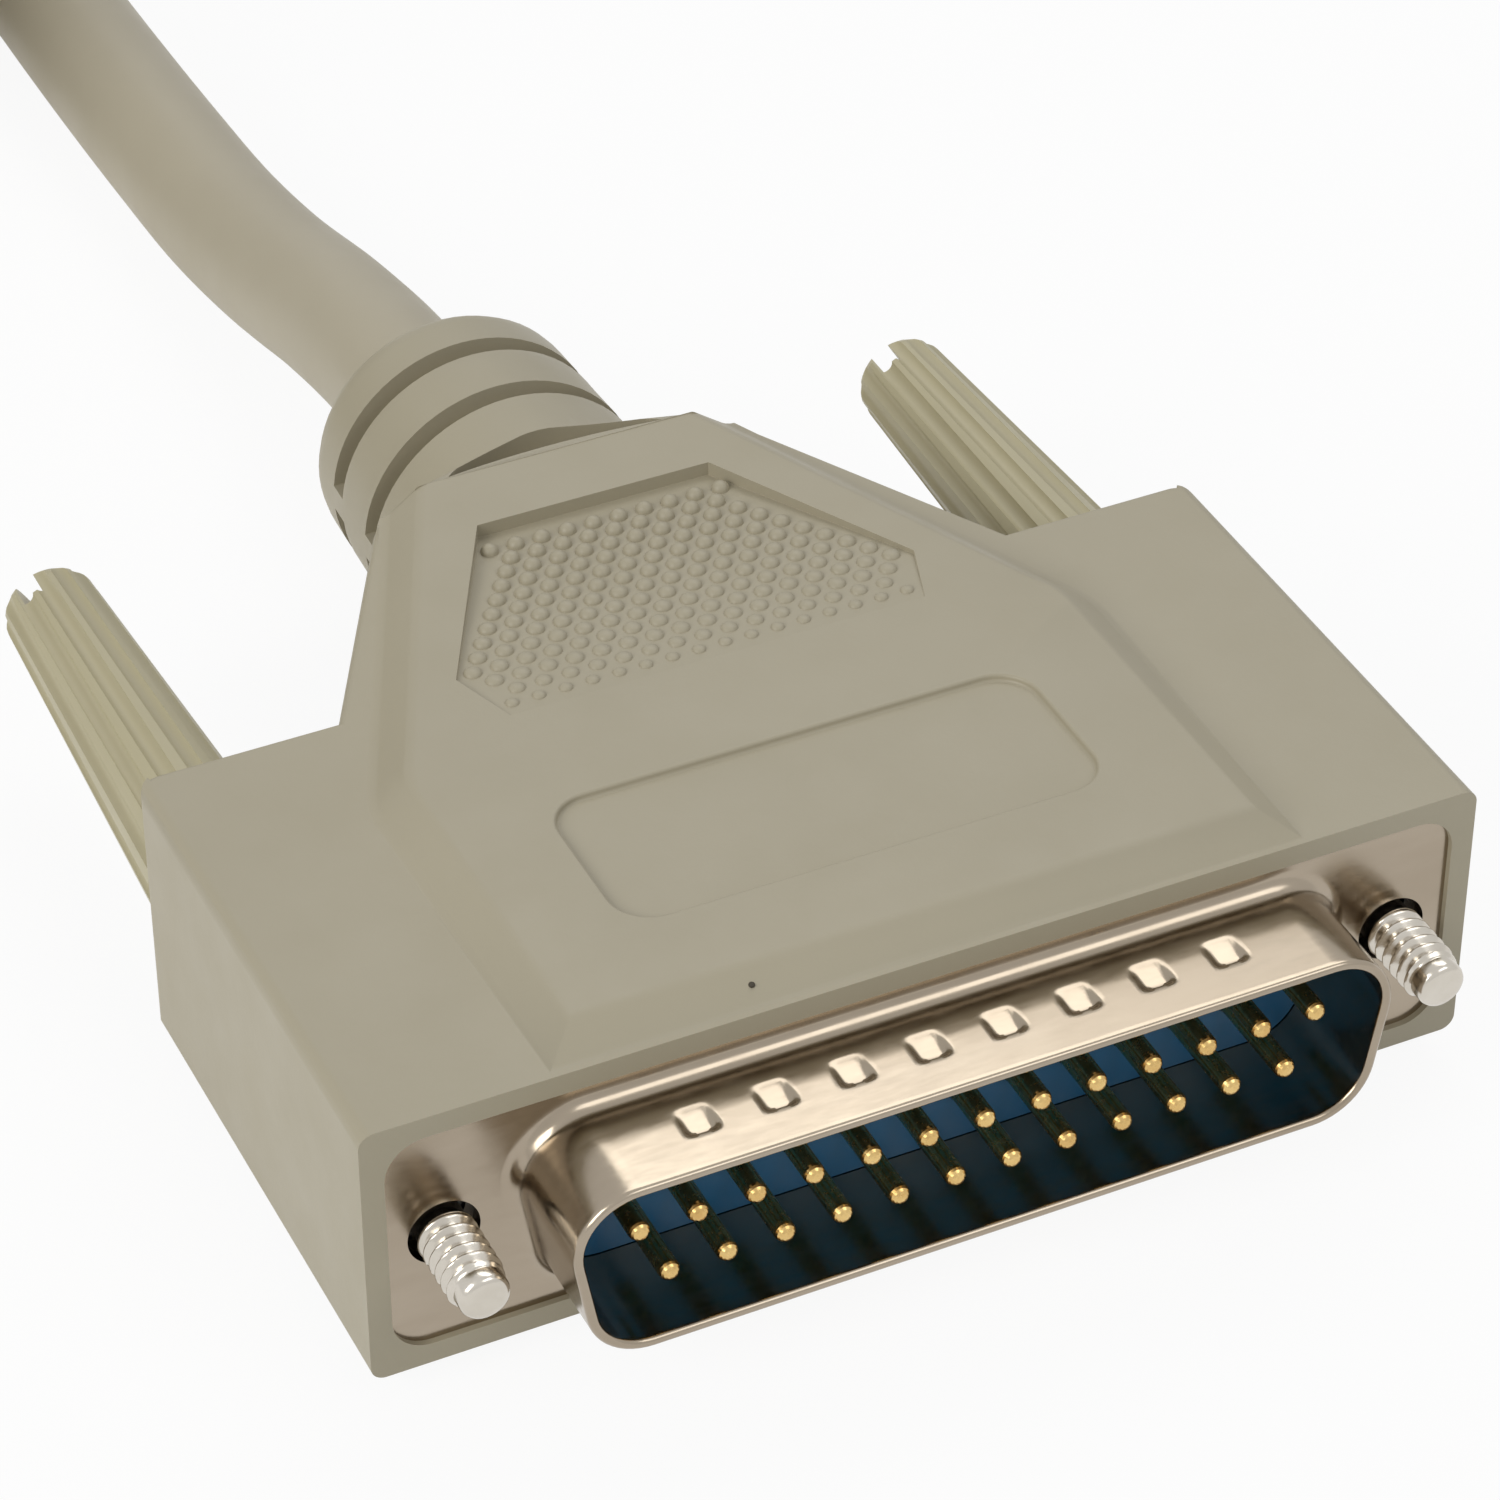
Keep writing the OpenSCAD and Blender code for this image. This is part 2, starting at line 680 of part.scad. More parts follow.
// The crescent only bites into the top and the bottom, right behind the neck's flat top
module relief_crescent() {
    half_l = 5.7;
    front_bow = 0.5;
    front_r = (half_l * half_l / front_bow + front_bow) / 2;
    back_bow = front_bow + crescent_w;
    back_r = (half_l * half_l / back_bow + back_bow) / 2;
    for (side = [0, 1])
        rotate([0, 180 * side, 0])
            translate([0, neck_y + 0.3, relief_r(0) - crescent_depth])
                linear_extrude(10)
                    difference() {
                        translate([0, back_bow - back_r]) circle(back_r, $fn = 96);
                        translate([0, front_bow - front_r]) circle(front_r, $fn = 240);
                    }
}

// The grip recess: its floor climbs from the cable's side until it meets the flat top
module grip_recess() {
    tilt = atan((grip_depth - 0.05) / grip_l);
    front_w = grip_w - 2.4;
    widest_y = grip_y + 3.5;
    for (side = [0, 1])
        rotate([0, 180 * side, 0])
            intersection() {
                slab(hood_h + 2)
                    polygon([
                        [-front_w / 2, grip_y], [front_w / 2, grip_y], [grip_w / 2, widest_y],
                        [grip_back_w / 2, grip_y + grip_l], [-grip_back_w / 2, grip_y + grip_l],
                        [-grip_w / 2, widest_y]
                    ]);
                translate([-grip_w, grip_y, hood_h / 2 - 0.05])
                    rotate([-tilt, 0, 0])
                        cube([2 * grip_w, 2 * grip_l, 5]);
            }
}

module label_recess() {
    translate([0, label_y, hood_h / 2 - label_depth])
        linear_extrude(5)
            rounded_rect(label_w, label_l, label_r);
}

// Outside of a hood, with the recesses and grooves that show
module hood_outside() {
    difference() {
        union() {
            wings();
            raised_middle();
            neck();
            relief_blend();
            relief_body();
        }
        grip_recess();
        label_recess();
        relief_crescent();
        for (i = [0, 1]) relief_groove(neck_y + groove_start + i * groove_gap);
    }
}

// Seat of the two flanges, with the lap in front of it, and the space for the rear shell
module shell_seat() {
    along_y(-lap_t - 1, EPS) rounded_rect(flange_w - 2 * lap, flange_h - 2 * lap, flange_corner_r - lap);
    along_y(0, flanges_t) rounded_rect(flange_w, flange_h, flange_corner_r);
    along_y(0, mould_y) polygon(d_points(mouth_w, mouth_h, rear_step));
}

// The way of one thumbscrew: a pocket for its clip behind the flanges, then the bore round its shank
module screw_way() {
    bar(clip_pocket_d, flanges_t - EPS, pocket_end_y);
    bar(screw_bore_d, 0, wing_depth + 1);
}

module hood() {
    color("#aaa38c") at_plug() difference() {
        hood_outside();
        shell_seat();
        inner_block(0);
        bar(sleeve_d, cable_start_y, cable_start_y + sleeve_l);
        bar(cable_d, mould_end_y, relief_y + 1);
        for (x = [-1, 1]) translate([x * screw_gap / 2, 0, 0]) screw_way();
    }
}

// ---------- thumbscrews ----------

module thumbscrew_at(side) {
    at_plug() translate([side * screw_gap / 2, 0, 0]) children();
}

// The steel screw: smooth tip, thread, clip groove, shank and the part inside the head
module screw(side) {
    tip_r = screw_d / 2 - 0.2;
    tip_l = 1;
    runout = 0.3;                           // plain shank between the thread and the flange
    groove_play = 0.05;
    shank_end_y = head_y + head_l - slot_depth - 2;
    color("#c4c0b6") thumbscrew_at(side)
        turned([
            [0, -screw_reach], [tip_r - 0.45, -screw_reach], [tip_r - 0.12, -screw_reach + 0.12],
            [tip_r, -screw_reach + 0.45], [tip_r, -screw_reach + tip_l], [screw_d / 2, -screw_reach + tip_l + 0.2],
            [screw_d / 2, -runout], [shank_d / 2, -runout],
            [shank_d / 2, clip_y - groove_play], [clip_groove_d / 2, clip_y - groove_play],
            [clip_groove_d / 2, clip_y + clip_t + groove_play], [shank_d / 2, clip_y + clip_t + groove_play],
            [shank_d / 2, shank_end_y], [0, shank_end_y]
        ]);
}

// The plastic head: a slender cone with flutes, a rounded end and a screwdriver slot
module head(side) {
    back_y = head_y + head_l;
    round_r = 1.2;
    lean = atan((head_d1 - head_d2) / 2 / head_l);
    color("#b3ab8d") thumbscrew_at(side)
        difference() {
            turned(concat(
                [[0, head_y], [head_d1 / 2 - 0.3, head_y], [head_d1 / 2, head_y + 0.3]],
                [for (a = [0:15:90]) [head_d2 / 2 - round_r * (1 - cos(a)), back_y - round_r + round_r * sin(a)]],
                [[0, back_y]]
            ));
            for (i = [0:FLUTES - 1])
                rotate([0, 360 * (i + 0.5) / FLUTES, 0])
                    translate([0, head_y - 1, head_d1 / 2 + 0.18])
                        rotate([-90 - lean, 0, 0])
                            cylinder(d = flute_d, h = head_l + 3, $fn = 20);
            bar(shank_d + 0.02, head_y - 1, back_y - slot_depth - 1.9);
            rotate([0, -slot_turn, 0])
                translate([-head_d1, back_y - slot_depth, -slot_w / 2])
                    cube([2 * head_d1, slot_depth + 1, slot_w]);
        }
}

// The retaining clip: an open ring that snaps into the screw's groove
module clip(side) {
    inner_d = clip_groove_d + 2 * clip_play;
    mouth = clip_groove_d - 0.3;
    color("#8f8f8f") thumbscrew_at(side)
        difference() {
            bar(clip_d, clip_y, clip_y + clip_t);
            bar(inner_d, clip_y - 1, clip_y + clip_t + 1);
            translate([-mouth / 2, clip_y - 1, -clip_d]) cube([mouth, clip_t + 2, clip_d]);
        }
}

module left_screw() { screw(-1); }
module left_head() { head(-1); }
module left_clip() { clip(-1); }
module right_screw() { screw(1); }
module right_head() { head(1); }
module right_clip() { clip(1); }

// ---------- the cable ----------

module cable_run_tube() {
    color("#a9a28d") sweep(cable_run, cable_d, 12);
}

module cable_tail_tube() {
    color("#a9a28d") sweep(cable_tail, cable_d, 12);
}

coil_w = coil_columns * cable_d;
coil_h = coil_layers * cable_d;

module cable_coil() {
    color("#a9a28d")
        translate([coil_centre[0], coil_centre[1], coil_h / 2])
            rotate_extrude($fn = 96)
                translate([coil_mid_r, 0])
                    rounded_rect(coil_w, coil_h, cable_d / 2);
}

// A strap round the bundle of turns, with its locking head on top
module cable_tie() {
    color("#26272a")
        translate([coil_centre[0], coil_centre[1], 0])
            rotate([0, 0, tie_angle])
                translate([coil_mid_r, tie_w / 2, 0])
                    rotate([90, 0, 0])
                        linear_extrude(tie_w) {
                            difference() {
                                translate([0, (coil_h + tie_t) / 2])
                                    rounded_rect(coil_w + 2 * tie_t, coil_h + tie_t, cable_d / 2);
                                translate([0, tie_t + (coil_h - tie_t) / 2])
                                    rounded_rect(coil_w, coil_h - tie_t, cable_d / 2 - tie_t);
                            }
                            translate([-3, coil_h + EPS]) square([6, 4]);
                        }
}

// ---------- the socket on the far end ----------

module socket_hood() {
    color("#aaa38c") at_socket() difference() {
        hood_outside();
        shell_seat();
        bar(cable_d, relief_y - 6, relief_y + 1);
        for (x = [-1, 1]) bar(screw_d + 0.1, flanges_t - 1, flanges_t + 3, x * screw_gap / 2);
    }
}

module socket_front_shell() {
    w = socket_w - 2 * skirt_t;
    h = socket_h - 2 * skirt_t;
    color("#b9b2a2") at_socket() {
        flange(0, w, h, skirt_t);
        skirt(w, h, socket_reach, flange_t);
    }
}

module socket_rear_shell() {
    color("#a9a294") at_socket() {
        difference() {
            union() {
                flange(flange_t, mouth_w, mouth_h, 0);
                along_y(flange_t, mould_y) polygon(d_points(mouth_w, mouth_h, rear_step));
            }
            along_y(flange_t - 1, mould_y + 1) polygon(d_points(mouth_w, mouth_h, rear_step - skirt_t));
        }
    }
}

module socket_insulator() {
    face_y = 0.3 - socket_reach;
    color("#0a3a66") at_socket() {
        difference() {
            union() {
                along_y(face_y, cup_y)
                    polygon(d_points(socket_w - 2 * skirt_t, socket_h - 2 * skirt_t, -insulator_play));
                along_y(flange_t, mould_y)
                    polygon(d_points(mouth_w, mouth_h, rear_step - skirt_t - insulator_play));
            }
            at_contacts() mirrored_bore(face_y);
        }
    }
}

// A contact's hole in the socket: narrow at the face, wide enough for the sleeve behind it
module mirrored_bore(face_y) {
    bar(pin_d + 0.2, face_y - 1, face_y + 1);
    bar(collar_d + 2 * contact_play, face_y + 0.6, cup_y);
}

module socket_contacts() {
    face_y = 0.3 - socket_reach;
    color("#c9a44c") at_socket()
        at_contacts() difference() {
            bar(collar_d, face_y + 0.65, cup_y - 0.05);
            bar(pin_d + 0.02, face_y, face_y + 5.6);
        }
}

// The two hexagonal jack nuts that a plug's thumbscrews turn into
module socket_jacks() {
    color("#c4c0b6") at_socket()
        for (x = [-1, 1])
            difference() {
                union() {
                    translate([x * screw_gap / 2, -jack_l, 0])
                        rotate([-90, 0, 0])
                            cylinder(d = jack_af / cos(30), h = jack_l, $fn = 6);
                    bar(screw_d, 0, flanges_t + 3, x * screw_gap / 2);
                }
                bar(screw_d, -jack_l - 1, -0.5, x * screw_gap / 2);
            }
}

hood();
front_shell();
rear_shell();
front_insulator();
rear_insulator();
contact_01();
contact_02();
contact_03();
contact_04();
contact_05();
contact_06();
contact_07();
contact_08();
contact_09();
contact_10();
contact_11();
contact_12();
contact_13();
contact_14();
contact_15();
contact_16();
contact_17();
contact_18();
contact_19();
contact_20();
contact_21();
contact_22();
contact_23();
contact_24();
contact_25();
conductors();
inner_mould();
crimp_sleeve();
left_screw();
left_head();
left_clip();
right_screw();
right_head();
right_clip();
cable_run_tube();
cable_coil();
cable_tail_tube();
cable_tie();
socket_hood();
socket_front_shell();
socket_rear_shell();
socket_insulator();
socket_contacts();
socket_jacks();
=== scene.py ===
# %% [markdown]
# # A moulded D-sub plug on its cable
#
# The object is a 25-way plug, moulded in beige vinyl on the end of a two metre cable. Its solids come
# from CAD and are the frame of this scene: each node is loaded in its place, in metres. A scene like
# this could be modelled from nothing in Blender, but the CAD already has
# the sizes and the joints. So each step dresses one thing on it: the finishes, the cable's turns, the
# dimples of the drawn shell, the screws' threads, the hood's soft edges and the domes of its grip.

import math

import bmesh
import bpy
import numpy as np
from mathutils import Matrix, Vector


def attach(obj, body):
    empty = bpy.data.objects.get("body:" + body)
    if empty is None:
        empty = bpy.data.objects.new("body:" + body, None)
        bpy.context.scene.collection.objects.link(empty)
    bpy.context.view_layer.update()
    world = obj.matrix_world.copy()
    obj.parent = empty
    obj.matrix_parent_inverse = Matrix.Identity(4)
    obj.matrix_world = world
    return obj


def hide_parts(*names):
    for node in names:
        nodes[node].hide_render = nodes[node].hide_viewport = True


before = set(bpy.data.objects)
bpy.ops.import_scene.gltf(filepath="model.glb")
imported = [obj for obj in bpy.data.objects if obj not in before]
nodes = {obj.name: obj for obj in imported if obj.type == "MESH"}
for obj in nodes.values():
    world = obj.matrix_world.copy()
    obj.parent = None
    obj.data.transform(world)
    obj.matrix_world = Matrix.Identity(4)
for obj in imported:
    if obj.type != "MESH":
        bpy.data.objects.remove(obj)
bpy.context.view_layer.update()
MM = 0.001

# %% [markdown]
# ## Where the two connectors stand
#
# The plug and the socket on the cable's far end are drawn in the same way, in millimetres: y = 0 is
# the front face of the flange, and the origin is the middle of the D. A piece could be brought to its
# place by its object's location, but the export puts every object at the origin. So the place goes
# into the mesh: `PLUG` and `SOCKET` are matrices that carry a drawing to its place in the part.

# %%
MIDDLE_Y = 25.4
AXIS_Z = 8.375
SOCKET_AT = (-61.0, 71.0, 37.975)
PLUG = Matrix.Translation(Vector((0, -MIDDLE_Y, AXIS_Z)) * MM) @ Matrix.Scale(MM, 4)
SOCKET = Matrix.Translation(Vector(SOCKET_AT) * MM) @ Matrix.Scale(MM, 4)
print("the plug's drawing starts at", PLUG.translation, "and the socket's at", SOCKET.translation)

# %% [markdown]
# ## A kit for the finishes
#
# Vinyl, plating and gold have a colour, a gloss and a fine relief that vary a little from place to
# place. They could be painted as an image on unwrapped faces, but an image has one resolution and shows
# its seams. Here noise in Object coordinates drives a Principled shader. Every piece sits unmoved at
# the origin, so those coordinates are the part's own metres, and a scale of 100 means a centimetre.


# %%
def srgb(red, green, blue):
    """Linear colour of a screen colour given as 0 to 255."""
    shares = (red / 255, green / 255, blue / 255)
    return tuple(c / 12.92 if c <= 0.04045 else ((c + 0.055) / 1.055) ** 2.4 for c in shares)


class Finish:
    """A material under construction: its texture nodes and the Principled shader that they drive."""

    def __init__(self, name, **sockets):
        self.mat = bpy.data.materials.new(name)
        self.mat.use_nodes = True
        self.tree = self.mat.node_tree
        self.bsdf = self.tree.nodes["Principled BSDF"]
        for key, value in sockets.items():
            self.bsdf.inputs[key.replace("_", " ")].default_value = value
        self.coords = self.tree.nodes.new("ShaderNodeTexCoord").outputs["Object"]

    def node(self, kind, **settings):
        """A node of a kind, with its properties and its sockets' values set by name."""
        n = self.tree.nodes.new("ShaderNode" + kind)
        for key, value in settings.items():
            if hasattr(n, key):
                setattr(n, key, value)
            else:
                n.inputs[key.replace("_", " ")].default_value = value
        return n

    def link(self, a, b):
        self.tree.links.new(a, b)

    def noise(self, scale, detail=3.0, roughness=0.5, stretch=None):
        """Grey noise with `scale` features a metre, stretched along an axis if asked."""
        n = self.node("TexNoise", Scale=scale, Detail=detail, Roughness=roughness)
        source = self.coords
        if stretch:
            mapping = self.node("Mapping", Scale=stretch)
            self.link(source, mapping.inputs["Vector"])
            source = mapping.outputs["Vector"]
        self.link(source, n.inputs["Vector"])
        return n.outputs["Fac"]

    def spread(self, fac, low, high, start=0.3, end=0.7):
        """Maps start..end of a grey value to low..high."""
        m = self.node("MapRange", clamp=True)
        for socket, value in (("From Min", start), ("From Max", end), ("To Min", low), ("To Max", high)):
            m.inputs[socket].default_value = value
        self.link(fac, m.inputs["Value"])
        return m.outputs["Result"]

    def mix(self, fac, first, second):
        """A colour between two colours."""
        m = self.node("Mix", data_type="RGBA")
        fac_in, first_in, second_in = m.inputs[0], m.inputs[6], m.inputs[7]
        self.link(fac, fac_in)
        first_in.default_value = (*first, 1.0)
        second_in.default_value = (*second, 1.0)
        return m.outputs[2]

    def bump(self, fac, distance, strength, under=None):
        """Relief of a grey value, `distance` metres high, on top of the relief `under` it."""
        b = self.node("Bump", Strength=strength, Distance=distance)
        self.link(fac, b.inputs["Height"])
        if under is not None:
            self.link(under, b.inputs["Normal"])
        self.link(b.outputs["Normal"], self.bsdf.inputs["Normal"])
        return b.outputs["Normal"]

    def colour(self, output):
        self.link(output, self.bsdf.inputs["Base Color"])

    def rough(self, output):
        self.link(output, self.bsdf.inputs["Roughness"])


# %% [markdown]
# ## Moulded plastic
#
# The hood, the screws' heads, the cable's jacket and the insulators are all moulded or extruded. Their
# faces took the fine grain of an eroded mould, the tint is slightly cloudy, and the gloss is a little
# uneven. One recipe makes them all, because only the colour, the gloss and the size of the grain
# differ. The grain is a bump, since real faces for a hundredth of a millimetre would be wasted.


# %%
def moulded(name, base, shade, rough, grain=2600.0, grain_depth=0.000012):
    """A moulded plastic of a base colour that drifts to a shade of it."""
    k = Finish(name, IOR=1.48)
    cloud = k.noise(scale=60.0, detail=4.0, roughness=0.6)
    k.colour(k.mix(k.spread(cloud, 0.0, 1.0, start=0.3, end=0.72), base, shade))
    uneven = k.noise(scale=220.0, detail=5.0, roughness=0.6)
    k.rough(k.spread(uneven, rough - 0.05, rough + 0.07))
    waves = k.bump(k.noise(scale=90.0, detail=2.0), distance=0.00002, strength=0.15)
    k.bump(k.noise(scale=grain, detail=2.0, roughness=0.6), grain_depth, strength=0.6, under=waves)
    return k.mat


hood_mat = moulded("hood_vinyl", srgb(174, 166, 144), srgb(171, 163, 141), 0.46)
head_mat = moulded("head_plastic", srgb(188, 180, 149), srgb(182, 174, 143), 0.38, 1800.0, 0.000006)
jacket_mat = moulded("cable_jacket", srgb(184, 176, 156), srgb(179, 171, 151), 0.5, 900.0, 0.00001)
blue_mat = moulded("insulator_blue", srgb(0, 106, 160), srgb(0, 97, 148), 0.36, 1500.0, 0.000003)
inner_mat = moulded("inner_mould", srgb(224, 220, 208), srgb(214, 208, 194), 0.6, 700.0)
wire_mat = moulded("conductor_sheath", srgb(150, 152, 158), srgb(136, 138, 146), 0.45, 1500.0)
tie_mat = moulded("tie_nylon", srgb(38, 38, 40), srgb(30, 30, 32), 0.42, 1500.0)
print("moulded finishes:", hood_mat.name, head_mat.name, jacket_mat.name, blue_mat.name, tie_mat.name)

# %% [markdown]
# ## Plated metal and gold
#
# The shells are drawn from tinned steel, which keeps fine streaks along the sheet and a soft haze. A
# plain metal with one roughness would look like chrome. So the haze tints the colour, and a finer noise,
# stretched along the sheet, varies the gloss. The contacts are gold over brass, which turns browner
# where the gold is thin, so their colour follows blotches instead of streaks.

# %%
ALONG_SHEET = (0.25, 1.0, 1.0)
NO_STREAK = (1.0, 1.0, 1.0)


def plated(name, base, dark, rough, streak=NO_STREAK):
    """A plated metal with a cloudy haze and very fine streaks."""
    k = Finish(name, Metallic=1.0)
    haze = k.noise(scale=180.0, detail=5.0, roughness=0.6, stretch=streak)
    k.colour(k.mix(k.spread(haze, 0.0, 1.0, start=0.35, end=0.75), base, dark))
    fine = k.noise(scale=2500.0, detail=3.0, roughness=0.6, stretch=streak)
    k.rough(k.spread(fine, rough - 0.04, rough + 0.05))
    soft = k.bump(haze, distance=0.00002, strength=0.12)
    k.bump(fine, distance=0.000002, strength=0.15, under=soft)
    return k.mat


def gold():
    """Flashed gold with browner blotches."""
    k = Finish("contact_gold", Metallic=1.0)
    blotch = k.noise(scale=900.0, detail=4.0, roughness=0.6)
    k.colour(k.mix(k.spread(blotch, 0.0, 1.0, start=0.35, end=0.7), srgb(226, 194, 130), srgb(206, 168, 104)))
    k.rough(k.spread(k.noise(scale=3000.0, detail=3.0), 0.18, 0.3))
    k.bump(blotch, distance=0.000003, strength=0.3)
    return k.mat


shell_mat = plated("shell_plate", srgb(172, 160, 143), srgb(158, 145, 127), 0.2, ALONG_SHEET)
flange_mat = plated("flange_plate", srgb(210, 204, 191), srgb(194, 187, 173), 0.3, ALONG_SHEET)
screw_mat = plated("screw_steel", srgb(216, 210, 200), srgb(196, 189, 176), 0.2)
sleeve_mat = plated("sleeve_metal", srgb(190, 190, 190), srgb(170, 170, 170), 0.3)
clip_mat = plated("clip_steel", srgb(140, 140, 142), srgb(110, 110, 112), 0.35)
gold_mat = gold()
print("metal finishes:", shell_mat.name, flange_mat.name, screw_mat.name, clip_mat.name, gold_mat.name)

# %% [markdown]
# ## The finish of each CAD node
#
# A CAD node is one body of one material, so it has one slot. The nodes could be told apart by hand in
# the Outliner. A table from finish to node names does it in the script, and what it doesn't name is a
# contact. Nodes that a finer piece replaces later are in it too, so that no node is left bare.

# %%
FINISHED = (
    (hood_mat, "hood", "socket_hood"),
    (shell_mat, "front_shell", "socket_front_shell"),
    (flange_mat, "rear_shell", "socket_rear_shell"),
    (blue_mat, "front_insulator", "rear_insulator", "socket_insulator"),
    (screw_mat, "left_screw", "right_screw", "socket_jacks"),
    (head_mat, "left_head", "right_head"),
    (clip_mat, "left_clip", "right_clip"),
    (jacket_mat, "cable_run_tube", "cable_coil", "cable_tail_tube"),
    (tie_mat, "cable_tie"),
    (wire_mat, "conductors"),
    (inner_mat, "inner_mould"),
    (sleeve_mat, "crimp_sleeve"),
)
finish_of = {node_name: mat for mat, *names in FINISHED for node_name in names}
for node_name, node in nodes.items():
    node.data.materials.clear()
    node.data.materials.append(finish_of.get(node_name, gold_mat))
print(f"{len(nodes)} nodes finished, {len(nodes) - len(finish_of)} of them in gold")

# %% [markdown]
# ## From rings of points to a piece
#
# The cable, the shells and the screws are skins: rings of points, joined ring by ring with four-sided
# faces. A bevelled curve or the Screw modifier makes such shapes too, but a mesh that is built from its
# points has just the rings that it needs, and its faces point outwards from the start. A finished piece
# gets smooth shading that breaks at sharp angles, and rides on one body of the part.


# %%
def put(name, data):
    """A new object in the scene."""
    obj = bpy.data.objects.new(name, data)
    bpy.context.scene.collection.objects.link(obj)
    return obj


def finish_piece(name, mesh, body, smooth=40.0):
    """An object of a mesh, shaded smooth below an angle in degrees and riding on a body."""
    mesh.validate()
    mesh.update()
    if smooth:
        mesh.shade_smooth()
        mesh.set_sharp_from_angle(angle=math.radians(smooth))
    obj = put(name, mesh)
    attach(obj, body)
    return obj


def skinned_piece(name, rings, mat, body, place, smooth):
    """A piece from rings of equally many points, with a flat cap at both ends."""
    verts, faces = skin(rings)
    mesh = bpy.data.meshes.new(name)
    mesh.from_pydata(verts, [], faces)
    mesh.transform(place)
    mesh.materials.append(mat)
    return finish_piece(name, mesh, body, smooth)


def skin(rings, caps=True):
    """The points of the rings, and the faces between each ring and the next."""
    n = len(rings[0])
    verts = [tuple(p) for ring in rings for p in ring]
    faces = []
    for a in range(0, len(verts) - n, n):
        for j in range(n):
            k = (j + 1) % n
            faces.append((a + j, a + k, a + n + k, a + n + j))
    if caps:
        faces.append(tuple(range(n - 1, -1, -1)))
        faces.append(tuple(range(len(verts) - n, len(verts))))
    return verts, faces


# %% [markdown]
# ## The cable's route
#
# The jacket is a round tube that leaves the strain relief, drops to the floor, lies in a tied coil of
# eight turns in four layers, and ends in the socket on top of the coil. Its middle line could be drawn
# as a Bezier curve by hand. Here it is computed, because the turns follow a rule: the run and the tail
# are smooth lines through a few points, and the coil winds in and out along each layer in turn.

# %%
CABLE_D = 7.4
RUN = [
    (0, 12.8, AXIS_Z), (0, 31.3, AXIS_Z), (0, 38, 7.9), (0, 45, 6.6), (-0.3, 53, 4.9), (-0.6, 61, 3.9),
    (-0.8, 69, 3.7), (-1, 80, 3.7), (-1, 98, 3.7), (-1, 118, 3.7),
]
TAIL = [
    (-21.4, 82.8, 25.9), (-10.5, 91.8, 27.8), (-3.5, 104.1, 31.4), (-1, 118, 33.3), (-1, 129, 33.6),
    (-5, 144, 34.2), (-16, 155, 35.2), (-31, 159, 36.3), (-46, 155, 37.2), (-57, 144, 37.8),
    (-61, 129, 38), (-61, 121.9, 38),
]
LINE_STEPS = 8
# points count along a line by this power of their distance: 1 is chordal, 0.5 is centripetal
SPACING_POWER = 0.8
COIL_CENTRE = (-41.7, 118.0)
COIL_OUTER_R, COIL_INNER_R = 40.7, 33.3
COIL_LAYERS = 4
TURN_STEPS = 64
# the share of a turn after which the cable moves over to the next turn's radius and height
STEADY_SHARE = 5 / 6


def smooth_line(points, steps):
    """Points of a smooth line through the given points."""
    p = np.array(points, float)
    t = np.r_[0, np.cumsum(np.linalg.norm(np.diff(p, axis=0), axis=1) ** SPACING_POWER)]
    slope = np.gradient(p, t, axis=0)
    out = []
    for i in range(len(p) - 1):
        h = t[i + 1] - t[i]
        for s in np.arange(steps) / steps:
            start, leave = 2 * s**3 - 3 * s**2 + 1, s**3 - 2 * s**2 + s
            end, arrive = 3 * s**2 - 2 * s**3, s**3 - s**2
            out.append(start * p[i] + leave * h * slope[i] + end * p[i + 1] + arrive * h * slope[i + 1])
    out.append(p[-1])
    return out


def coil_line():
    """The turns from the lowest layer up, the first layer from its outer turn to its inner one."""
    turns = []
    for layer in range(COIL_LAYERS):
        radii = (COIL_INNER_R, COIL_OUTER_R) if layer % 2 else (COIL_OUTER_R, COIL_INNER_R)
        turns += [(r, (layer + 0.5) * CABLE_D) for r in radii]
    out = []
    for turn, (r, z) in enumerate(turns):
        for share in np.arange(TURN_STEPS) / TURN_STEPS:
            radius, height = r, z
            if share > STEADY_SHARE:
                if turn == len(turns) - 1:
                    break
                g = (share - STEADY_SHARE) / (1 - STEADY_SHARE)
                g = g * g * (3 - 2 * g)
                radius = r + (turns[turn + 1][0] - r) * g
                height = z + (turns[turn + 1][1] - z) * g
            a = 2 * math.pi * share
            x, y = COIL_CENTRE[0] + radius * math.cos(a), COIL_CENTRE[1] + radius * math.sin(a)
            out.append(np.array((x, y, height)))
    return out


route = smooth_line(RUN, LINE_STEPS)[:-1] + coil_line() + smooth_line(TAIL, LINE_STEPS)

# %% [markdown]
# ## The cable's jacket
#
# Along the line goes one round ring at each point. Each ring needs a direction of its own, square to
# the line. The cable never stands upright, so "sideways" is square to the line and to the vertical,
# which keeps the tube from twisting. The three CAD nodes of the cable give way to this one piece.

# %%
JACKET_SIDES = 28


def tube_rings(line, diameter, sides):
    """Round rings square to a line."""
    line = np.array(line)
    ahead = np.gradient(line, axis=0)
    ahead /= np.linalg.norm(ahead, axis=1)[:, None]
    sideways = np.cross(ahead, (0, 0, 1.0))
    sideways /= np.linalg.norm(sideways, axis=1)[:, None]
    upward = np.cross(sideways, ahead)
    angles = 2 * math.pi * (np.arange(sides) + 0.5) / sides
    return [
        [tuple(p + diameter / 2 * (math.cos(a) * s + math.sin(a) * u)) for a in angles]
        for p, s, u in zip(line, sideways, upward)
    ]


rings = tube_rings(route, CABLE_D, JACKET_SIDES)
cable = skinned_piece("cable", rings, jacket_mat, "connector", Matrix.Scale(MM, 4), smooth=50)
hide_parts("cable_run_tube", "cable_coil", "cable_tail_tube")
print(f"cable: {len(cable.data.polygons)} faces")

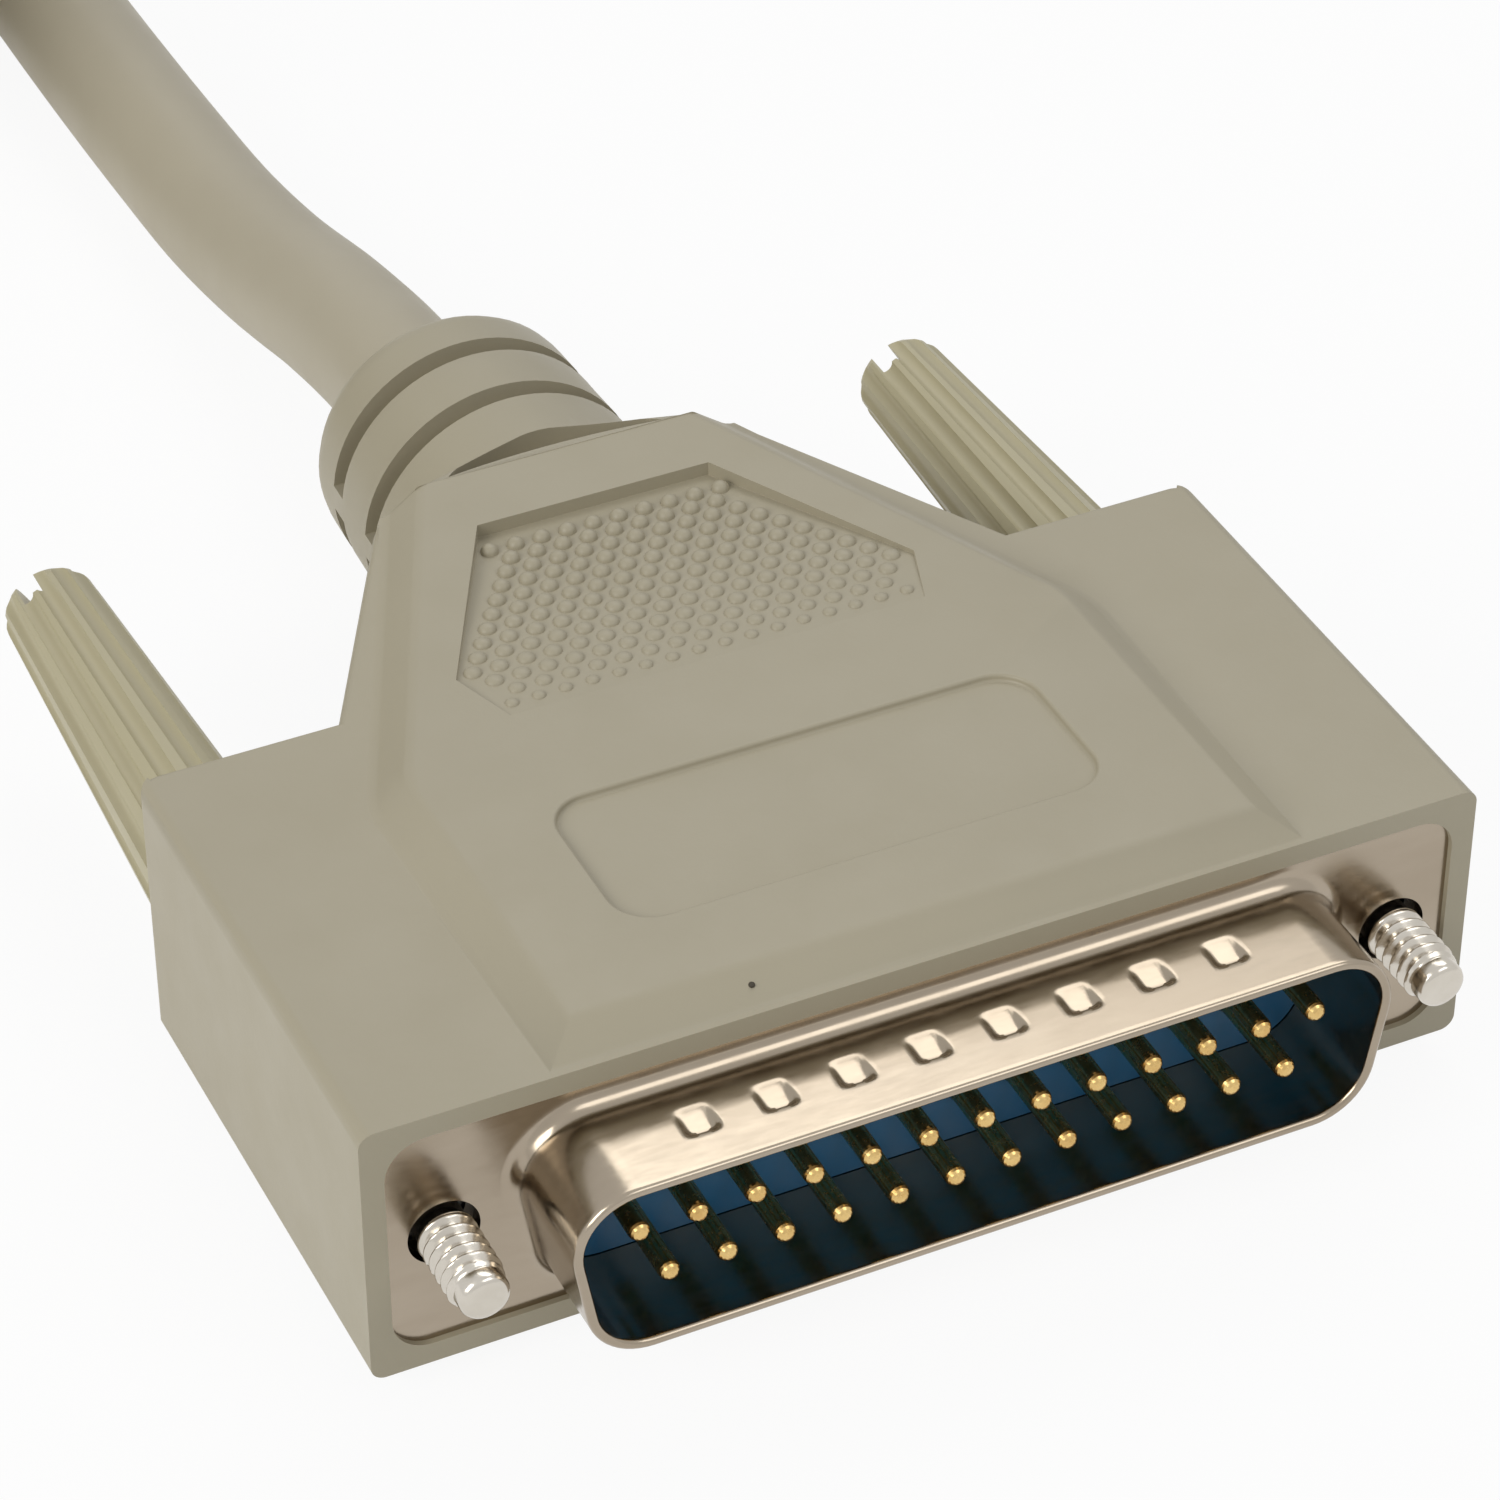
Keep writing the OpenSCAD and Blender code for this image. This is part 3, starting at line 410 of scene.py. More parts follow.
# %% [markdown]
# ## The outline of the D
#
# The D that gives the connector its name is a slanted rectangle with round corners. It keeps the plug
# from going in upside down. The outline could be traced with a curve object, but the shell needs it at
# several distances from the contacts' side, so it is a function: the straight sides move out by `off`,
# and the corners' radii grow by as much, which is what sheet metal does when it is drawn.

# %%
SLANT_ANGLE = math.radians(10)
SLANT = math.tan(SLANT_ANGLE)
CORNER_R = 2.6
LOW_CORNER_POINTS, TOP_CORNER_POINTS = 13, 15


def d_outline(w, h, off, straight):
    """Points of the D as (x, z), anticlockwise from the middle of its lower side."""
    r, up = CORNER_R, h / 2 - CORNER_R
    top_x = w / 2 - r
    low_x = top_x - 2 * up * SLANT
    low_turn = np.linspace(-math.pi / 2, -SLANT_ANGLE, LOW_CORNER_POINTS)
    top_turn = np.linspace(-SLANT_ANGLE, math.pi / 2, TOP_CORNER_POINTS)
    half = [(x, -up - r - off) for x in np.linspace(0, low_x, int(low_x / straight))[:-1]]
    half += [(low_x + (r + off) * math.cos(a), -up + (r + off) * math.sin(a)) for a in low_turn]
    half += [(top_x + (r + off) * math.cos(a), up + (r + off) * math.sin(a)) for a in top_turn]
    half += [(x, up + r + off) for x in np.linspace(top_x, 0, int(top_x / straight))[1:-1]]
    top = (0.0, up + r + off)
    return half + [top] + [(-x, z) for x, z in half[:0:-1]]


def rounded_rect(w, h, r, n=10):
    """Points of a rectangle with round corners as (x, z)."""
    points = []
    for side_x, side_z, start in ((1, -1, -90), (1, 1, 0), (-1, 1, 90), (-1, -1, 180)):
        for a in np.radians(np.linspace(start, start + 90, n)):
            points.append((side_x * (w / 2 - r) + r * math.cos(a), side_z * (h / 2 - r) + r * math.sin(a)))
    return points


# %% [markdown]
# ## The wall of a shell and its dimples
#
# The wall is drawn out of the flange through a root radius, and its rim is rounded. The plug's shell
# also has a row of grounding dimples, pressed in along the long side, which grip the mating shell.
# They could be cut with a Boolean, but a pressed dimple has soft walls and no sharp edge. So the wall
# has fine rings there, and each point is pushed in by a smooth depth, which is deepest near the rim.

# %%
SKIRT_T = 0.5
ROOT_R = 0.9
FLANGE_BACK = 0.78
ROOT_RINGS, OUTSIDE_RINGS, RIM_RINGS, INSIDE_RINGS = 9, 34, 11, 36
DIMPLE_PITCH = 3.68
DIMPLE_X = [(i - 3.5) * DIMPLE_PITCH for i in range(8)]
DIMPLE_Y = -2.85
DIMPLE_HALF_X, DIMPLE_HALF_Y = 0.78, 0.86
# the dimple's rim and the width of its soft wall, as shares of its half size
DIMPLE_RIM, DIMPLE_WALL = 1.15, 0.5
DIMPLE_DEPTH, DIMPLE_TILT = 0.17, 0.13
# a power of 6 makes the dimple's outline a square with round corners
SQUARENESS = 6
# the part of the wall that the dimples lie in
DIMPLED_Y, DIMPLED_ABOVE = (-4.4, -1.3), 3.0


def dimple_depth(x, y):
    """How far the wall is pushed in at a point."""
    deepest = 0.0
    for centre in DIMPLE_X:
        u, v = abs(x - centre) / DIMPLE_HALF_X, (y - DIMPLE_Y) / DIMPLE_HALF_Y
        edge = (u**SQUARENESS + v**SQUARENESS) ** (1 / SQUARENESS)
        if edge < DIMPLE_RIM:
            wall = min(1.0, (DIMPLE_RIM - edge) / DIMPLE_WALL)
            deepest = max(deepest, wall * wall * (3 - 2 * wall) * (DIMPLE_DEPTH - DIMPLE_TILT * v))
    return deepest


def wall_profile(reach):
    """(y, distance outside the D) along the wall: root radius, outside, rim and inside."""
    rim = SKIRT_T / 2
    quarter, half_turn = np.linspace(0, math.pi / 2, ROOT_RINGS), np.linspace(0, math.pi, RIM_RINGS)
    root = [(-ROOT_R + ROOT_R * math.cos(a), SKIRT_T + ROOT_R * (1 - math.sin(a))) for a in quarter]
    outside = [(y, SKIRT_T) for y in np.linspace(-ROOT_R, -reach + rim, OUTSIDE_RINGS)[1:-1]]
    edge = [(-reach + rim - rim * math.sin(a), rim + rim * math.cos(a)) for a in half_turn]
    inside = [(y, 0.0) for y in np.linspace(-reach + rim, FLANGE_BACK, INSIDE_RINGS)[1:]]
    return root + outside + edge + inside


# %% [markdown]
# ## The two drawn shells
#
# A shell is one sheet: the wall, and the flange that it grows out of, with the two screw holes. The
# flange's flat sides could be n-gons with holes, but Blender's n-gons can't have any, so triangle fill
# closes the space between the outer edge, the D and the holes. Both flat sides start from the wall's
# own first and last rings, so the sheet is closed without a seam.

# %%
FLANGE_W, FLANGE_H, FLANGE_R = 53.04, 12.55, 2.2
SCREW_X = 23.52
HOLE_D, HOLE_SIDES = 3.4, 48
# width and height of the D inside the wall, and how far the wall reaches out of the flange
PLUG_D = (38.96, 8.36, 5.9)
SOCKET_D = (37.3, 6.9, 6.1)
FINE_STEP, PLAIN_STEP = 0.16, 0.8


def flange_face(bm, y, d_verts, loops):
    """One flat side of the flange, filled between its edge, the D and the two screw holes."""
    new_loops = [[bm.verts.new((x, y, z)) for x, z in loop] for loop in loops]
    edges = []
    for loop in new_loops + [d_verts]:
        for i, v in enumerate(loop):
            pair = (v, loop[(i + 1) % len(loop)])
            edges.append(bm.edges.get(pair) or bm.edges.new(pair))
    bmesh.ops.triangle_fill(bm, edges=edges, use_beauty=True)
    return new_loops


def shell(name, d_size, place, dimpled):
    """A drawn shell with its flange, with or without dimples in the wall's upper side."""
    w, h, reach = d_size
    step = FINE_STEP if dimpled else PLAIN_STEP
    rings = []
    for y, off in wall_profile(reach):
        pressed = dimpled and DIMPLED_Y[0] < y < DIMPLED_Y[1]
        ring = []
        for x, z in d_outline(w, h, off, step):
            push = dimple_depth(x, y) if pressed and z > DIMPLED_ABOVE else 0.0
            ring.append((x, y, z - push))
        rings.append(ring)
    verts, faces = skin(rings, caps=False)
    bm = bmesh.new()
    vs = [bm.verts.new(v) for v in verts]
    for f in faces:
        bm.faces.new([vs[i] for i in f])
    circle = np.linspace(0, 2 * math.pi, HOLE_SIDES + 1)[:-1]
    loops = [rounded_rect(FLANGE_W, FLANGE_H, FLANGE_R)]
    for x in (-SCREW_X, SCREW_X):
        loops.append([(x + HOLE_D / 2 * math.cos(a), HOLE_D / 2 * math.sin(a)) for a in circle])
    n = len(rings[0])
    front = flange_face(bm, 0.0, vs[:n], loops)
    back = flange_face(bm, FLANGE_BACK, vs[-n:], loops)
    for a, b in zip(front, back):
        for i in range(len(a)):
            j = (i + 1) % len(a)
            bm.faces.new((a[i], a[j], b[j], b[i]))
    bmesh.ops.recalc_face_normals(bm, faces=bm.faces)
    mesh = bpy.data.meshes.new(name)
    bm.to_mesh(mesh)
    bm.free()
    mesh.transform(place)
    mesh.materials.append(shell_mat)
    return finish_piece(name, mesh, "connector", smooth=32)


plug_shell = shell("plug_shell", PLUG_D, PLUG, dimpled=True)
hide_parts("front_shell")
far_shell = shell("far_shell", SOCKET_D, SOCKET, dimpled=False)
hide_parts("socket_front_shell")
print(f"plug_shell: {len(plug_shell.data.polygons)} faces, {len(DIMPLE_X)} dimples")

# %% [markdown]
# ## The thumbscrews' threads
#
# A thumbscrew is a steel bar with a groove for its clip and a 60 degree thread on its front end, one
# turn every 0.635 mm. The Screw modifier could wind a tooth's profile, but its ends need trimming by
# hand. Here the bar is a skin of fine rings, and the radius of each point follows how far it is along
# the thread at its angle. Two ramps let the thread run out at the tip and in front of the groove.

# %%
THREAD_PITCH = 0.635
THREAD_R, THREAD_DEPTH = 1.38, 0.34
# half of the tooth space's width, as a share of the pitch: the rest is the flat crest
THREAD_HALF = 0.44
CHAMFER = 0.2
# lengths over which the thread gets its depth, its full outside and loses its depth again
DEEPENS, RISES, FADES = 0.35, 0.25, 0.3
TIP_Y, BAR_END_Y = -4.7, 46.5
THREAD_FROM, THREAD_TO = TIP_Y + 0.85, -0.3
SHANK_R, GROOVE_R = 1.2, 0.95
GROOVE_FROM, GROOVE_TO = 1.75, 2.45
MIDDLE_R = 0.02
# radius and distance behind the tip's end
TIP = [(MIDDLE_R, 0.0), (0.73, 0.0), (0.96, 0.05), (1.11, 0.17), (1.18, 0.34), (1.18, 0.8)]
# radius and y of the plain bar behind the thread
BAR = [
    (SHANK_R, -0.25), (SHANK_R, GROOVE_FROM), (GROOVE_R, GROOVE_FROM), (GROOVE_R, GROOVE_TO),
    (SHANK_R, GROOVE_TO), (SHANK_R, BAR_END_Y), (MIDDLE_R, BAR_END_Y),
]
SCREW_SIDES = 44
RINGS_PER_PITCH = 14


def thread_radius(y, turn):
    """Radius of the thread at y, `turn` of a whole turn round the screw."""
    phase = (y / THREAD_PITCH - turn) % 1.0
    depth = max(0.0, 1 - abs(phase - 0.5) / THREAD_HALF)
    fade = max(0.0, min(1.0, (y - THREAD_FROM) / DEEPENS, (THREAD_TO - y) / FADES))
    crest = THREAD_R - CHAMFER + CHAMFER * min(1.0, (y - THREAD_FROM) / RISES)
    return crest - THREAD_DEPTH * depth * fade


def screw_ring(y, radius=None):
    """A ring of the screw at y, of a plain radius or, without one, of the thread's."""
    ring = []
    for turn in np.arange(SCREW_SIDES) / SCREW_SIDES:
        a = 2 * math.pi * turn
        r = thread_radius(y, turn) if radius is None else radius
        ring.append((r * math.cos(a), y, r * math.sin(a)))
    return ring


def screw(side, x):
    """The screw of one side, on the body of its thumbscrew."""
    rings = [screw_ring(TIP_Y + behind, radius) for radius, behind in TIP]
    rings += [screw_ring(y) for y in np.arange(THREAD_FROM, THREAD_TO, THREAD_PITCH / RINGS_PER_PITCH)]
    rings += [screw_ring(y, radius) for radius, y in BAR]
    place = PLUG @ Matrix.Translation((x, 0, 0))
    obj = skinned_piece(side + "_threaded_screw", rings, screw_mat, side + "_thumbscrew", place, smooth=35)
    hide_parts(side + "_screw")
    print(f"{obj.name}: {len(obj.data.polygons)} faces, {(THREAD_TO - THREAD_FROM) / THREAD_PITCH:.1f} turns")


screw("left", -SCREW_X)
screw("right", SCREW_X)

# %% [markdown]
# ## Which edges of a hood are soft
#
# The hood is vinyl, moulded round the shells and the cable, and a moulding's outer edges are never
# quite sharp. The CAD solid has them sharp, to stay simple. One Bevel modifier with an angle limit
# would round them all alike, and would fold the small facets of the strain relief over. So each edge
# gets a radius by its place: broad over the flange, fine along the raised middle, hardly any on the
# grip and the grooves, and none round the mouth, inside, and on arcs that are round already.

# %%
HOOD_TOP = 8.375
GRIP_Y, GRIP_L = 22.0, 14.3
# half width of the grip recess at distances behind its front
GRIP_HALF = ((0.0, 3.5, 14.3), (10.6, 11.8, 6.1))
LIP_R, CREASE_R, LABEL_R, GRIP_R, RELIEF_R = 0.6, 0.35, 0.16, 0.012, 0.004
BROADEST_R = 0.8
# where each kind of edge lies, with x and z counted outwards from the hood's middle
MOUTH_Y, LIP_Y, RELIEF_Y = 1.5, 2.0, 36.6
CAVITY_X, CAVITY_Y, CAVITY_Z = 26.4, 40.0, 6.2
WING_ARC_X, WING_ARC_Z = 26.55, 6.2
RECESS_Z, RECESS_Y = 7.5, 21.9
LABEL_X, LABEL_Y, LABEL_Z = 12.1, (5.9, 15.5), 8.0


def grip_half(y):
    """Half width of the grip recess at a distance behind its front."""
    return float(np.interp(y, *GRIP_HALF))


def edge_round(p, q):
    """Radius in mm for a sharp edge of the hood between two drawing points, or 0 where it stays sharp."""
    mid = (p + q) / 2
    x, y, z = abs(mid.x), mid.y, abs(mid.z)
    inside = x < CAVITY_X and y < CAVITY_Y and z < CAVITY_Z
    wing_arc = x > WING_ARC_X and z > WING_ARC_Z
    if y < MOUTH_Y or inside or wing_arc:
        return 0.0
    if y > RELIEF_Y:
        return RELIEF_R
    if z > RECESS_Z and y > RECESS_Y and x < grip_half(y - GRIP_Y) + 0.1:
        return GRIP_R
    if z > LABEL_Z and x < LABEL_X and LABEL_Y[0] < y < LABEL_Y[1]:
        return LABEL_R
    return LIP_R if y < LIP_Y else CREASE_R


# %% [markdown]
# ## Baking, flat faces and shading
#
# Three small jobs follow a bevel. The modifier is baked, because the part's tools want plain meshes.
# The flat top has recesses in it, so the bevel leaves it as a face with a slit, which can fold: it is
# taken out and filled afresh between its rounded edges. Last, weighted normals let the large flat
# faces keep their own direction, so that only the narrow roundings turn the light.

# %%
LEVEL_WITHIN = 0.06
LEVEL_NORMAL = 0.99


def bake(obj):
    """Replaces the object's mesh by what its modifiers make of it."""
    graph = bpy.context.evaluated_depsgraph_get()
    graph.update()
    mesh = bpy.data.meshes.new_from_object(obj.evaluated_get(graph))
    obj.modifiers.clear()
    obj.data = mesh


def refill_flats(obj, place):
    """Fills the flat top and underside afresh, round the recesses in them."""
    back = place.inverted()
    bm = bmesh.new()
    bm.from_mesh(obj.data)

    def is_flat(face, side):
        level = all(abs((back @ v.co).z * side - HOOD_TOP) < LEVEL_WITHIN for v in face.verts)
        return level and face.normal.z * side > LEVEL_NORMAL

    for side in (1, -1):
        flat = [f for f in bm.faces if is_flat(f, side)]
        edges = {e for f in flat for e in f.edges}
        rim = [e for e in edges if sum(f in flat for f in e.link_faces) == 1]
        bmesh.ops.delete(bm, geom=flat, context="FACES_ONLY")
        bmesh.ops.delete(bm, geom=[e for e in edges if e not in rim], context="EDGES")
        made = bmesh.ops.triangle_fill(bm, edges=rim, use_beauty=True, normal=(0, 0, side))
        for f in made["geom"]:
            if isinstance(f, bmesh.types.BMFace) and f.normal.z * side < 0:
                f.normal_flip()
    bm.to_mesh(obj.data)
    bm.free()


def settle_normals(obj, sharp):
    """Smooth shading in which the large flat faces keep their own normals."""
    obj.data.shade_smooth()
    obj.data.set_sharp_from_angle(angle=math.radians(sharp))
    mod = obj.modifiers.new("normals", "WEIGHTED_NORMAL")
    mod.mode = "FACE_AREA_WITH_ANGLE"
    mod.keep_sharp = True
    bake(obj)


# %% [markdown]
# ## The moulded hoods
#
# A CAD node's mesh is loose triangles. A copy of it is merged, and its flat faces are made whole again
# by a limited dissolve, so that every edge that is left is an edge of the hood. Then it is bevelled by
# the edges' weights. Loop slide lets a rounding run along the faces beside it, which suits the plug's
# hood. The far hood's faces are split in other places and would fold with it, so it goes without.

# %%
MERGE_WITHIN = 2e-6
WHOLE_FACE_ANGLE, EDGE_ANGLE = math.radians(1), math.radians(24)
ROUND_STEPS = 3


def soften(source, name, place, slide):
    """A copy of a hood's CAD node with rounded edges, which replaces the node."""
    mesh = nodes[source].data.copy()
    mesh.name = name
    bm = bmesh.new()
    bm.from_mesh(mesh)
    bmesh.ops.remove_doubles(bm, verts=bm.verts, dist=MERGE_WITHIN)
    bmesh.ops.dissolve_limit(bm, angle_limit=WHOLE_FACE_ANGLE, verts=bm.verts, edges=bm.edges)
    back = place.inverted()
    weight = bm.edges.layers.float.new("bevel_weight_edge")
    for e in bm.edges:
        if len(e.link_faces) == 2 and e.calc_face_angle(0.0) > EDGE_ANGLE:
            e[weight] = edge_round(back @ e.verts[0].co, back @ e.verts[1].co) / BROADEST_R
    bm.to_mesh(mesh)
    bm.free()
    obj = finish_piece(name, mesh, "connector", 0)
    mod = obj.modifiers.new("round", "BEVEL")
    mod.limit_method = "WEIGHT"
    mod.width = BROADEST_R * MM
    mod.segments = ROUND_STEPS
    mod.use_clamp_overlap = False
    mod.loop_slide = slide
    bake(obj)
    refill_flats(obj, place)
    settle_normals(obj, sharp=33.0)
    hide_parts(source)
    print(f"{name}: {len(obj.data.polygons)} faces")
    return obj


soften("hood", "moulded_hood", PLUG, slide=True)
far_hood = soften("socket_hood", "far_moulded_hood", SOCKET, slide=False)

# %% [markdown]
# ## Where the grip's domes stand
#
# Close rows of small domes stand on the sloping floor of the grip recess, so that fingers can pull the
# plug out. The rows are set off by half a step, as balls pack, and the domes shrink where the floor
# comes up to the flat top. Points could be scattered over the floor in Geometry Nodes, but a mould is
# drilled in rows. So the script lists the points row by row, and the size of each one's dome.

# %%
DOME_R = 0.46
DOME_GAP_X, DOME_GAP_Y = 1.35, 1.0
# depth of the recess's floor at its front and at its back
GRIP_FRONT_DEPTH, GRIP_BACK_DEPTH = 0.05, 0.75
GRIP_MARGIN = 0.75
FIRST_ROW, LAST_MARGIN = 0.9, 0.5
DOMES_EACH_WAY = 9
# a dome's width grows from this share to the whole, its height by the depth of the floor under it
FRONT_WIDTH, WIDENS_OVER = 0.6, 6.0
LOW_HEIGHT, HEIGHT_GAIN = 0.14, 0.32


def grip_points():
    """Where the domes stand on the upper side, and each one's width and height as shares of a ball's."""
    points, sizes = [], []
    row, y = 0, FIRST_ROW
    while y < GRIP_L - LAST_MARGIN:
        half = grip_half(y) - GRIP_MARGIN
        offset = 0.0 if row % 2 else DOME_GAP_X / 2
        depth = GRIP_FRONT_DEPTH + (GRIP_BACK_DEPTH - GRIP_FRONT_DEPTH) * y / GRIP_L
        wide = min(1.0, FRONT_WIDTH + y / WIDENS_OVER)
        tall = min(wide, (LOW_HEIGHT + HEIGHT_GAIN * depth / GRIP_BACK_DEPTH) / DOME_R)
        for i in range(-DOMES_EACH_WAY, DOMES_EACH_WAY + 1):
            x = offset + i * DOME_GAP_X
            if abs(x) <= half:
                points.append((x * MM, (GRIP_Y + y) * MM, (HOOD_TOP - depth) * MM))
                sizes.append((wide, wide, tall))
        row, y = row + 1, y + DOME_GAP_Y
    return points, sizes


print(f"{len(grip_points()[0])} domes on each side of a hood")

# %% [markdown]
# ## A tree that sets domes on points
#
# The same dome stands on every point, which is what Geometry Nodes do best: a ball is cut below its
# middle, instanced on the points and scaled by their `size`. Real copies in the script would do too,
# but the tree keeps the dome's sizes as inputs that can be tried out in the modifier's panel. It ends
# in Realize Instances and Set Material, because the export drops instances.


# %%
def dome_tree():
    """The node group, and the identifiers of its inputs by name."""
    tree = bpy.data.node_groups.new("domes_on_points", "GeometryNodeTree")
    inputs = {}
    for name, kind in (
        ("Points", "Geometry"), ("Dome Radius", "Float"), ("Dome Segments", "Int"), ("Dome Rings", "Int"),
        ("Cut Height", "Float"), ("Finish", "Material"),
    ):
        socket = tree.interface.new_socket(name, in_out="INPUT", socket_type="NodeSocket" + kind)
        inputs[name] = socket.identifier
    tree.interface.new_socket("Domes", in_out="OUTPUT", socket_type="NodeSocketGeometry")

    def node(kind):
        return tree.nodes.new(kind)

    def link(a, b):
        tree.links.new(a, b)

    start, end = node("NodeGroupInput"), node("NodeGroupOutput")
    ball, split = node("GeometryNodeMeshUVSphere"), node("ShaderNodeSeparateXYZ")
    below, cut = node("FunctionNodeCompare"), node("GeometryNodeDeleteGeometry")
    link(start.outputs["Dome Radius"], ball.inputs["Radius"])
    link(start.outputs["Dome Segments"], ball.inputs["Segments"])
    link(start.outputs["Dome Rings"], ball.inputs["Rings"])
    below.operation = "LESS_THAN"
    cut.domain = "FACE"
    link(node("GeometryNodeInputPosition").outputs[0], split.inputs[0])
    link(split.outputs["Z"], below.inputs["A"])
    link(start.outputs["Cut Height"], below.inputs["B"])
    link(ball.outputs["Mesh"], cut.inputs["Geometry"])
    link(below.outputs[0], cut.inputs["Selection"])
    size = node("GeometryNodeInputNamedAttribute")
    size.data_type = "FLOAT_VECTOR"
    size.inputs["Name"].default_value = "size"
    place = node("GeometryNodeInstanceOnPoints")
    link(start.outputs["Points"], place.inputs["Points"])
    link(cut.outputs[0], place.inputs["Instance"])
    link(size.outputs[0], place.inputs["Scale"])
    real, finish = node("GeometryNodeRealizeInstances"), node("GeometryNodeSetMaterial")
    link(place.outputs[0], real.inputs[0])
    link(real.outputs[0], finish.inputs["Geometry"])
    link(start.outputs["Finish"], finish.inputs["Material"])
    link(finish.outputs[0], end.inputs[0])
    return tree, inputs


# %% [markdown]
# ## The grips
#
# The underside of a hood has the same recess, so each point is used twice, the second time upside
# down. A negative height turns a dome inside out, so those below get their faces turned round again.
# The inputs of the modifier are set by their identifiers, because two inputs may share a name.

# %%
DOME_SETTINGS = {
    "Dome Radius": DOME_R * MM, "Dome Segments": 12, "Dome Rings": 8, "Cut Height": -0.02 * MM,
    "Finish": hood_mat,
}
DOMES, DOME_INPUTS = dome_tree()


def grip(name, place):
    """The domes above and below one hood."""
    points, sizes = grip_points()
    mesh = bpy.data.meshes.new(name)
    mesh.from_pydata(points + [(x, y, -z) for x, y, z in points], [], [])
    both_sizes = sizes + [(wide, long, -tall) for wide, long, tall in sizes]
    mesh.attributes.new("size", "FLOAT_VECTOR", "POINT").data.foreach_set("vector", np.ravel(both_sizes))
    obj = put(name, mesh)
    mod = obj.modifiers.new("domes", "NODES")
    mod.node_group = DOMES
    for key, value in DOME_SETTINGS.items():
        mod[DOME_INPUTS[key]] = value
    bake(obj)
    bm = bmesh.new()
    bm.from_mesh(obj.data)
    bmesh.ops.reverse_faces(bm, faces=[f for f in bm.faces if f.calc_center_median().z < 0])
    bm.to_mesh(obj.data)
    bm.free()
    obj.data.transform(place @ Matrix.Scale(1 / MM, 4))
    # a ball made in the tree brings an empty slot, so the finish gets a slot list of its own
    obj.data.materials.clear()
    obj.data.materials.append(hood_mat)
    obj.data.shade_smooth()
    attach(obj, "connector")
    print(f"{name}: {len(obj.data.polygons)} faces")


grip("grip_domes", PLUG)
grip("far_grip_domes", SOCKET)

# %% [markdown]
# ## The gate mark
#
# Where the vinyl was let into the mould, a dark speck is left on the slope over the flange. A spot in
# the material would slide if the hood's mesh changed, so it is a tiny flattened ball, half sunk in.

# %%
SPECK_R = 0.2
SPECK_AT, SPECK_SHARE = (-8.5, 0.9, 7.7), (0.8, 0.9, 0.6, 1.0)
speck = bpy.data.meshes.new("gate_mark")
bm = bmesh.new()
bmesh.ops.create_icosphere(bm, subdivisions=2, radius=SPECK_R)
bm.to_mesh(speck)
bm.free()
speck.transform(PLUG @ Matrix.Translation(SPECK_AT) @ Matrix.Diagonal(SPECK_SHARE))
speck.materials.append(moulded("gate_mark", srgb(70, 62, 46), srgb(50, 44, 32), 0.6))
finish_piece("gate_mark", speck, "connector")
print("gate_mark:", len(speck.polygons), "faces")

# %% [markdown]
# ## A floor and a world that look white
#
# The plug lies on plain pale paper in a bright room. More light would make paper and room white, and
# would wash out the vinyl as well. So the light stays low, and the surfaces themselves know who looks:
# where the ray comes from the camera, a mirror or glass, most of what it sees is white at strength 1.
# The rest is the real floor, which keeps the soft shadow under the plug.

# %%
FLOOR_HALF = 3.0
FLOOR_WHITE, WORLD_WHITE = 0.92, 0.75
WORLD_STRENGTH = 0.34
PALE, LESS_PALE = (0.93, 0.93, 0.925), (0.9, 0.9, 0.895)


def seen_white(tree, surface, end, share, kind):
    """Where the camera, a mirror or glass sees this surface, `share` of it is plain white."""
    path = tree.nodes.new("ShaderNodeLightPath")
    ray = path.outputs["Is Camera Ray"]
    for name in ("Is Glossy Ray", "Is Transmission Ray"):
        either = tree.nodes.new("ShaderNodeMath")
        either.operation = "MAXIMUM"
        tree.links.new(ray, either.inputs[0])
        tree.links.new(path.outputs[name], either.inputs[1])
        ray = either.outputs[0]
    part = tree.nodes.new("ShaderNodeMath")
    part.operation = "MULTIPLY"
    part.inputs[1].default_value = share
    white = tree.nodes.new(kind)
    white.inputs["Color"].default_value = (1, 1, 1, 1)
    white.inputs["Strength"].default_value = 1.0
    mix = tree.nodes.new("ShaderNodeMixShader")
    tree.links.new(ray, part.inputs[0])
    tree.links.new(part.outputs[0], mix.inputs[0])
    tree.links.new(surface, mix.inputs[1])
    tree.links.new(white.outputs[0], mix.inputs[2])
    tree.links.new(mix.outputs[0], end.inputs["Surface"])


floor_mesh = bpy.data.meshes.new("floor")
corners = [(x * FLOOR_HALF, y * FLOOR_HALF, 0) for x, y in ((-1, -1), (1, -1), (1, 1), (-1, 1))]
floor_mesh.from_pydata(corners, [], [(0, 1, 2, 3)])
paper = Finish("floor", Roughness=0.7)
cloud = paper.spread(paper.noise(scale=6.0), 0.0, 1.0)
paper.colour(paper.mix(cloud, PALE, LESS_PALE))
floor_mesh.materials.append(paper.mat)
paper_end = paper.tree.nodes["Material Output"]
seen_white(paper.tree, paper.bsdf.outputs[0], paper_end, FLOOR_WHITE, "ShaderNodeEmission")
put("floor", floor_mesh)

world = bpy.data.worlds.new("studio")
bpy.context.scene.world = world
world.use_nodes = True
sky = world.node_tree.nodes["Background"]
sky.inputs["Color"].default_value = (0.95, 0.97, 1.0, 1)
sky.inputs["Strength"].default_value = WORLD_STRENGTH
world_end = world.node_tree.nodes["World Output"]
seen_white(world.node_tree, sky.outputs[0], world_end, WORLD_WHITE, "ShaderNodeBackground")
print(f"floor {2 * FLOOR_HALF} m wide, world strength {WORLD_STRENGTH}")

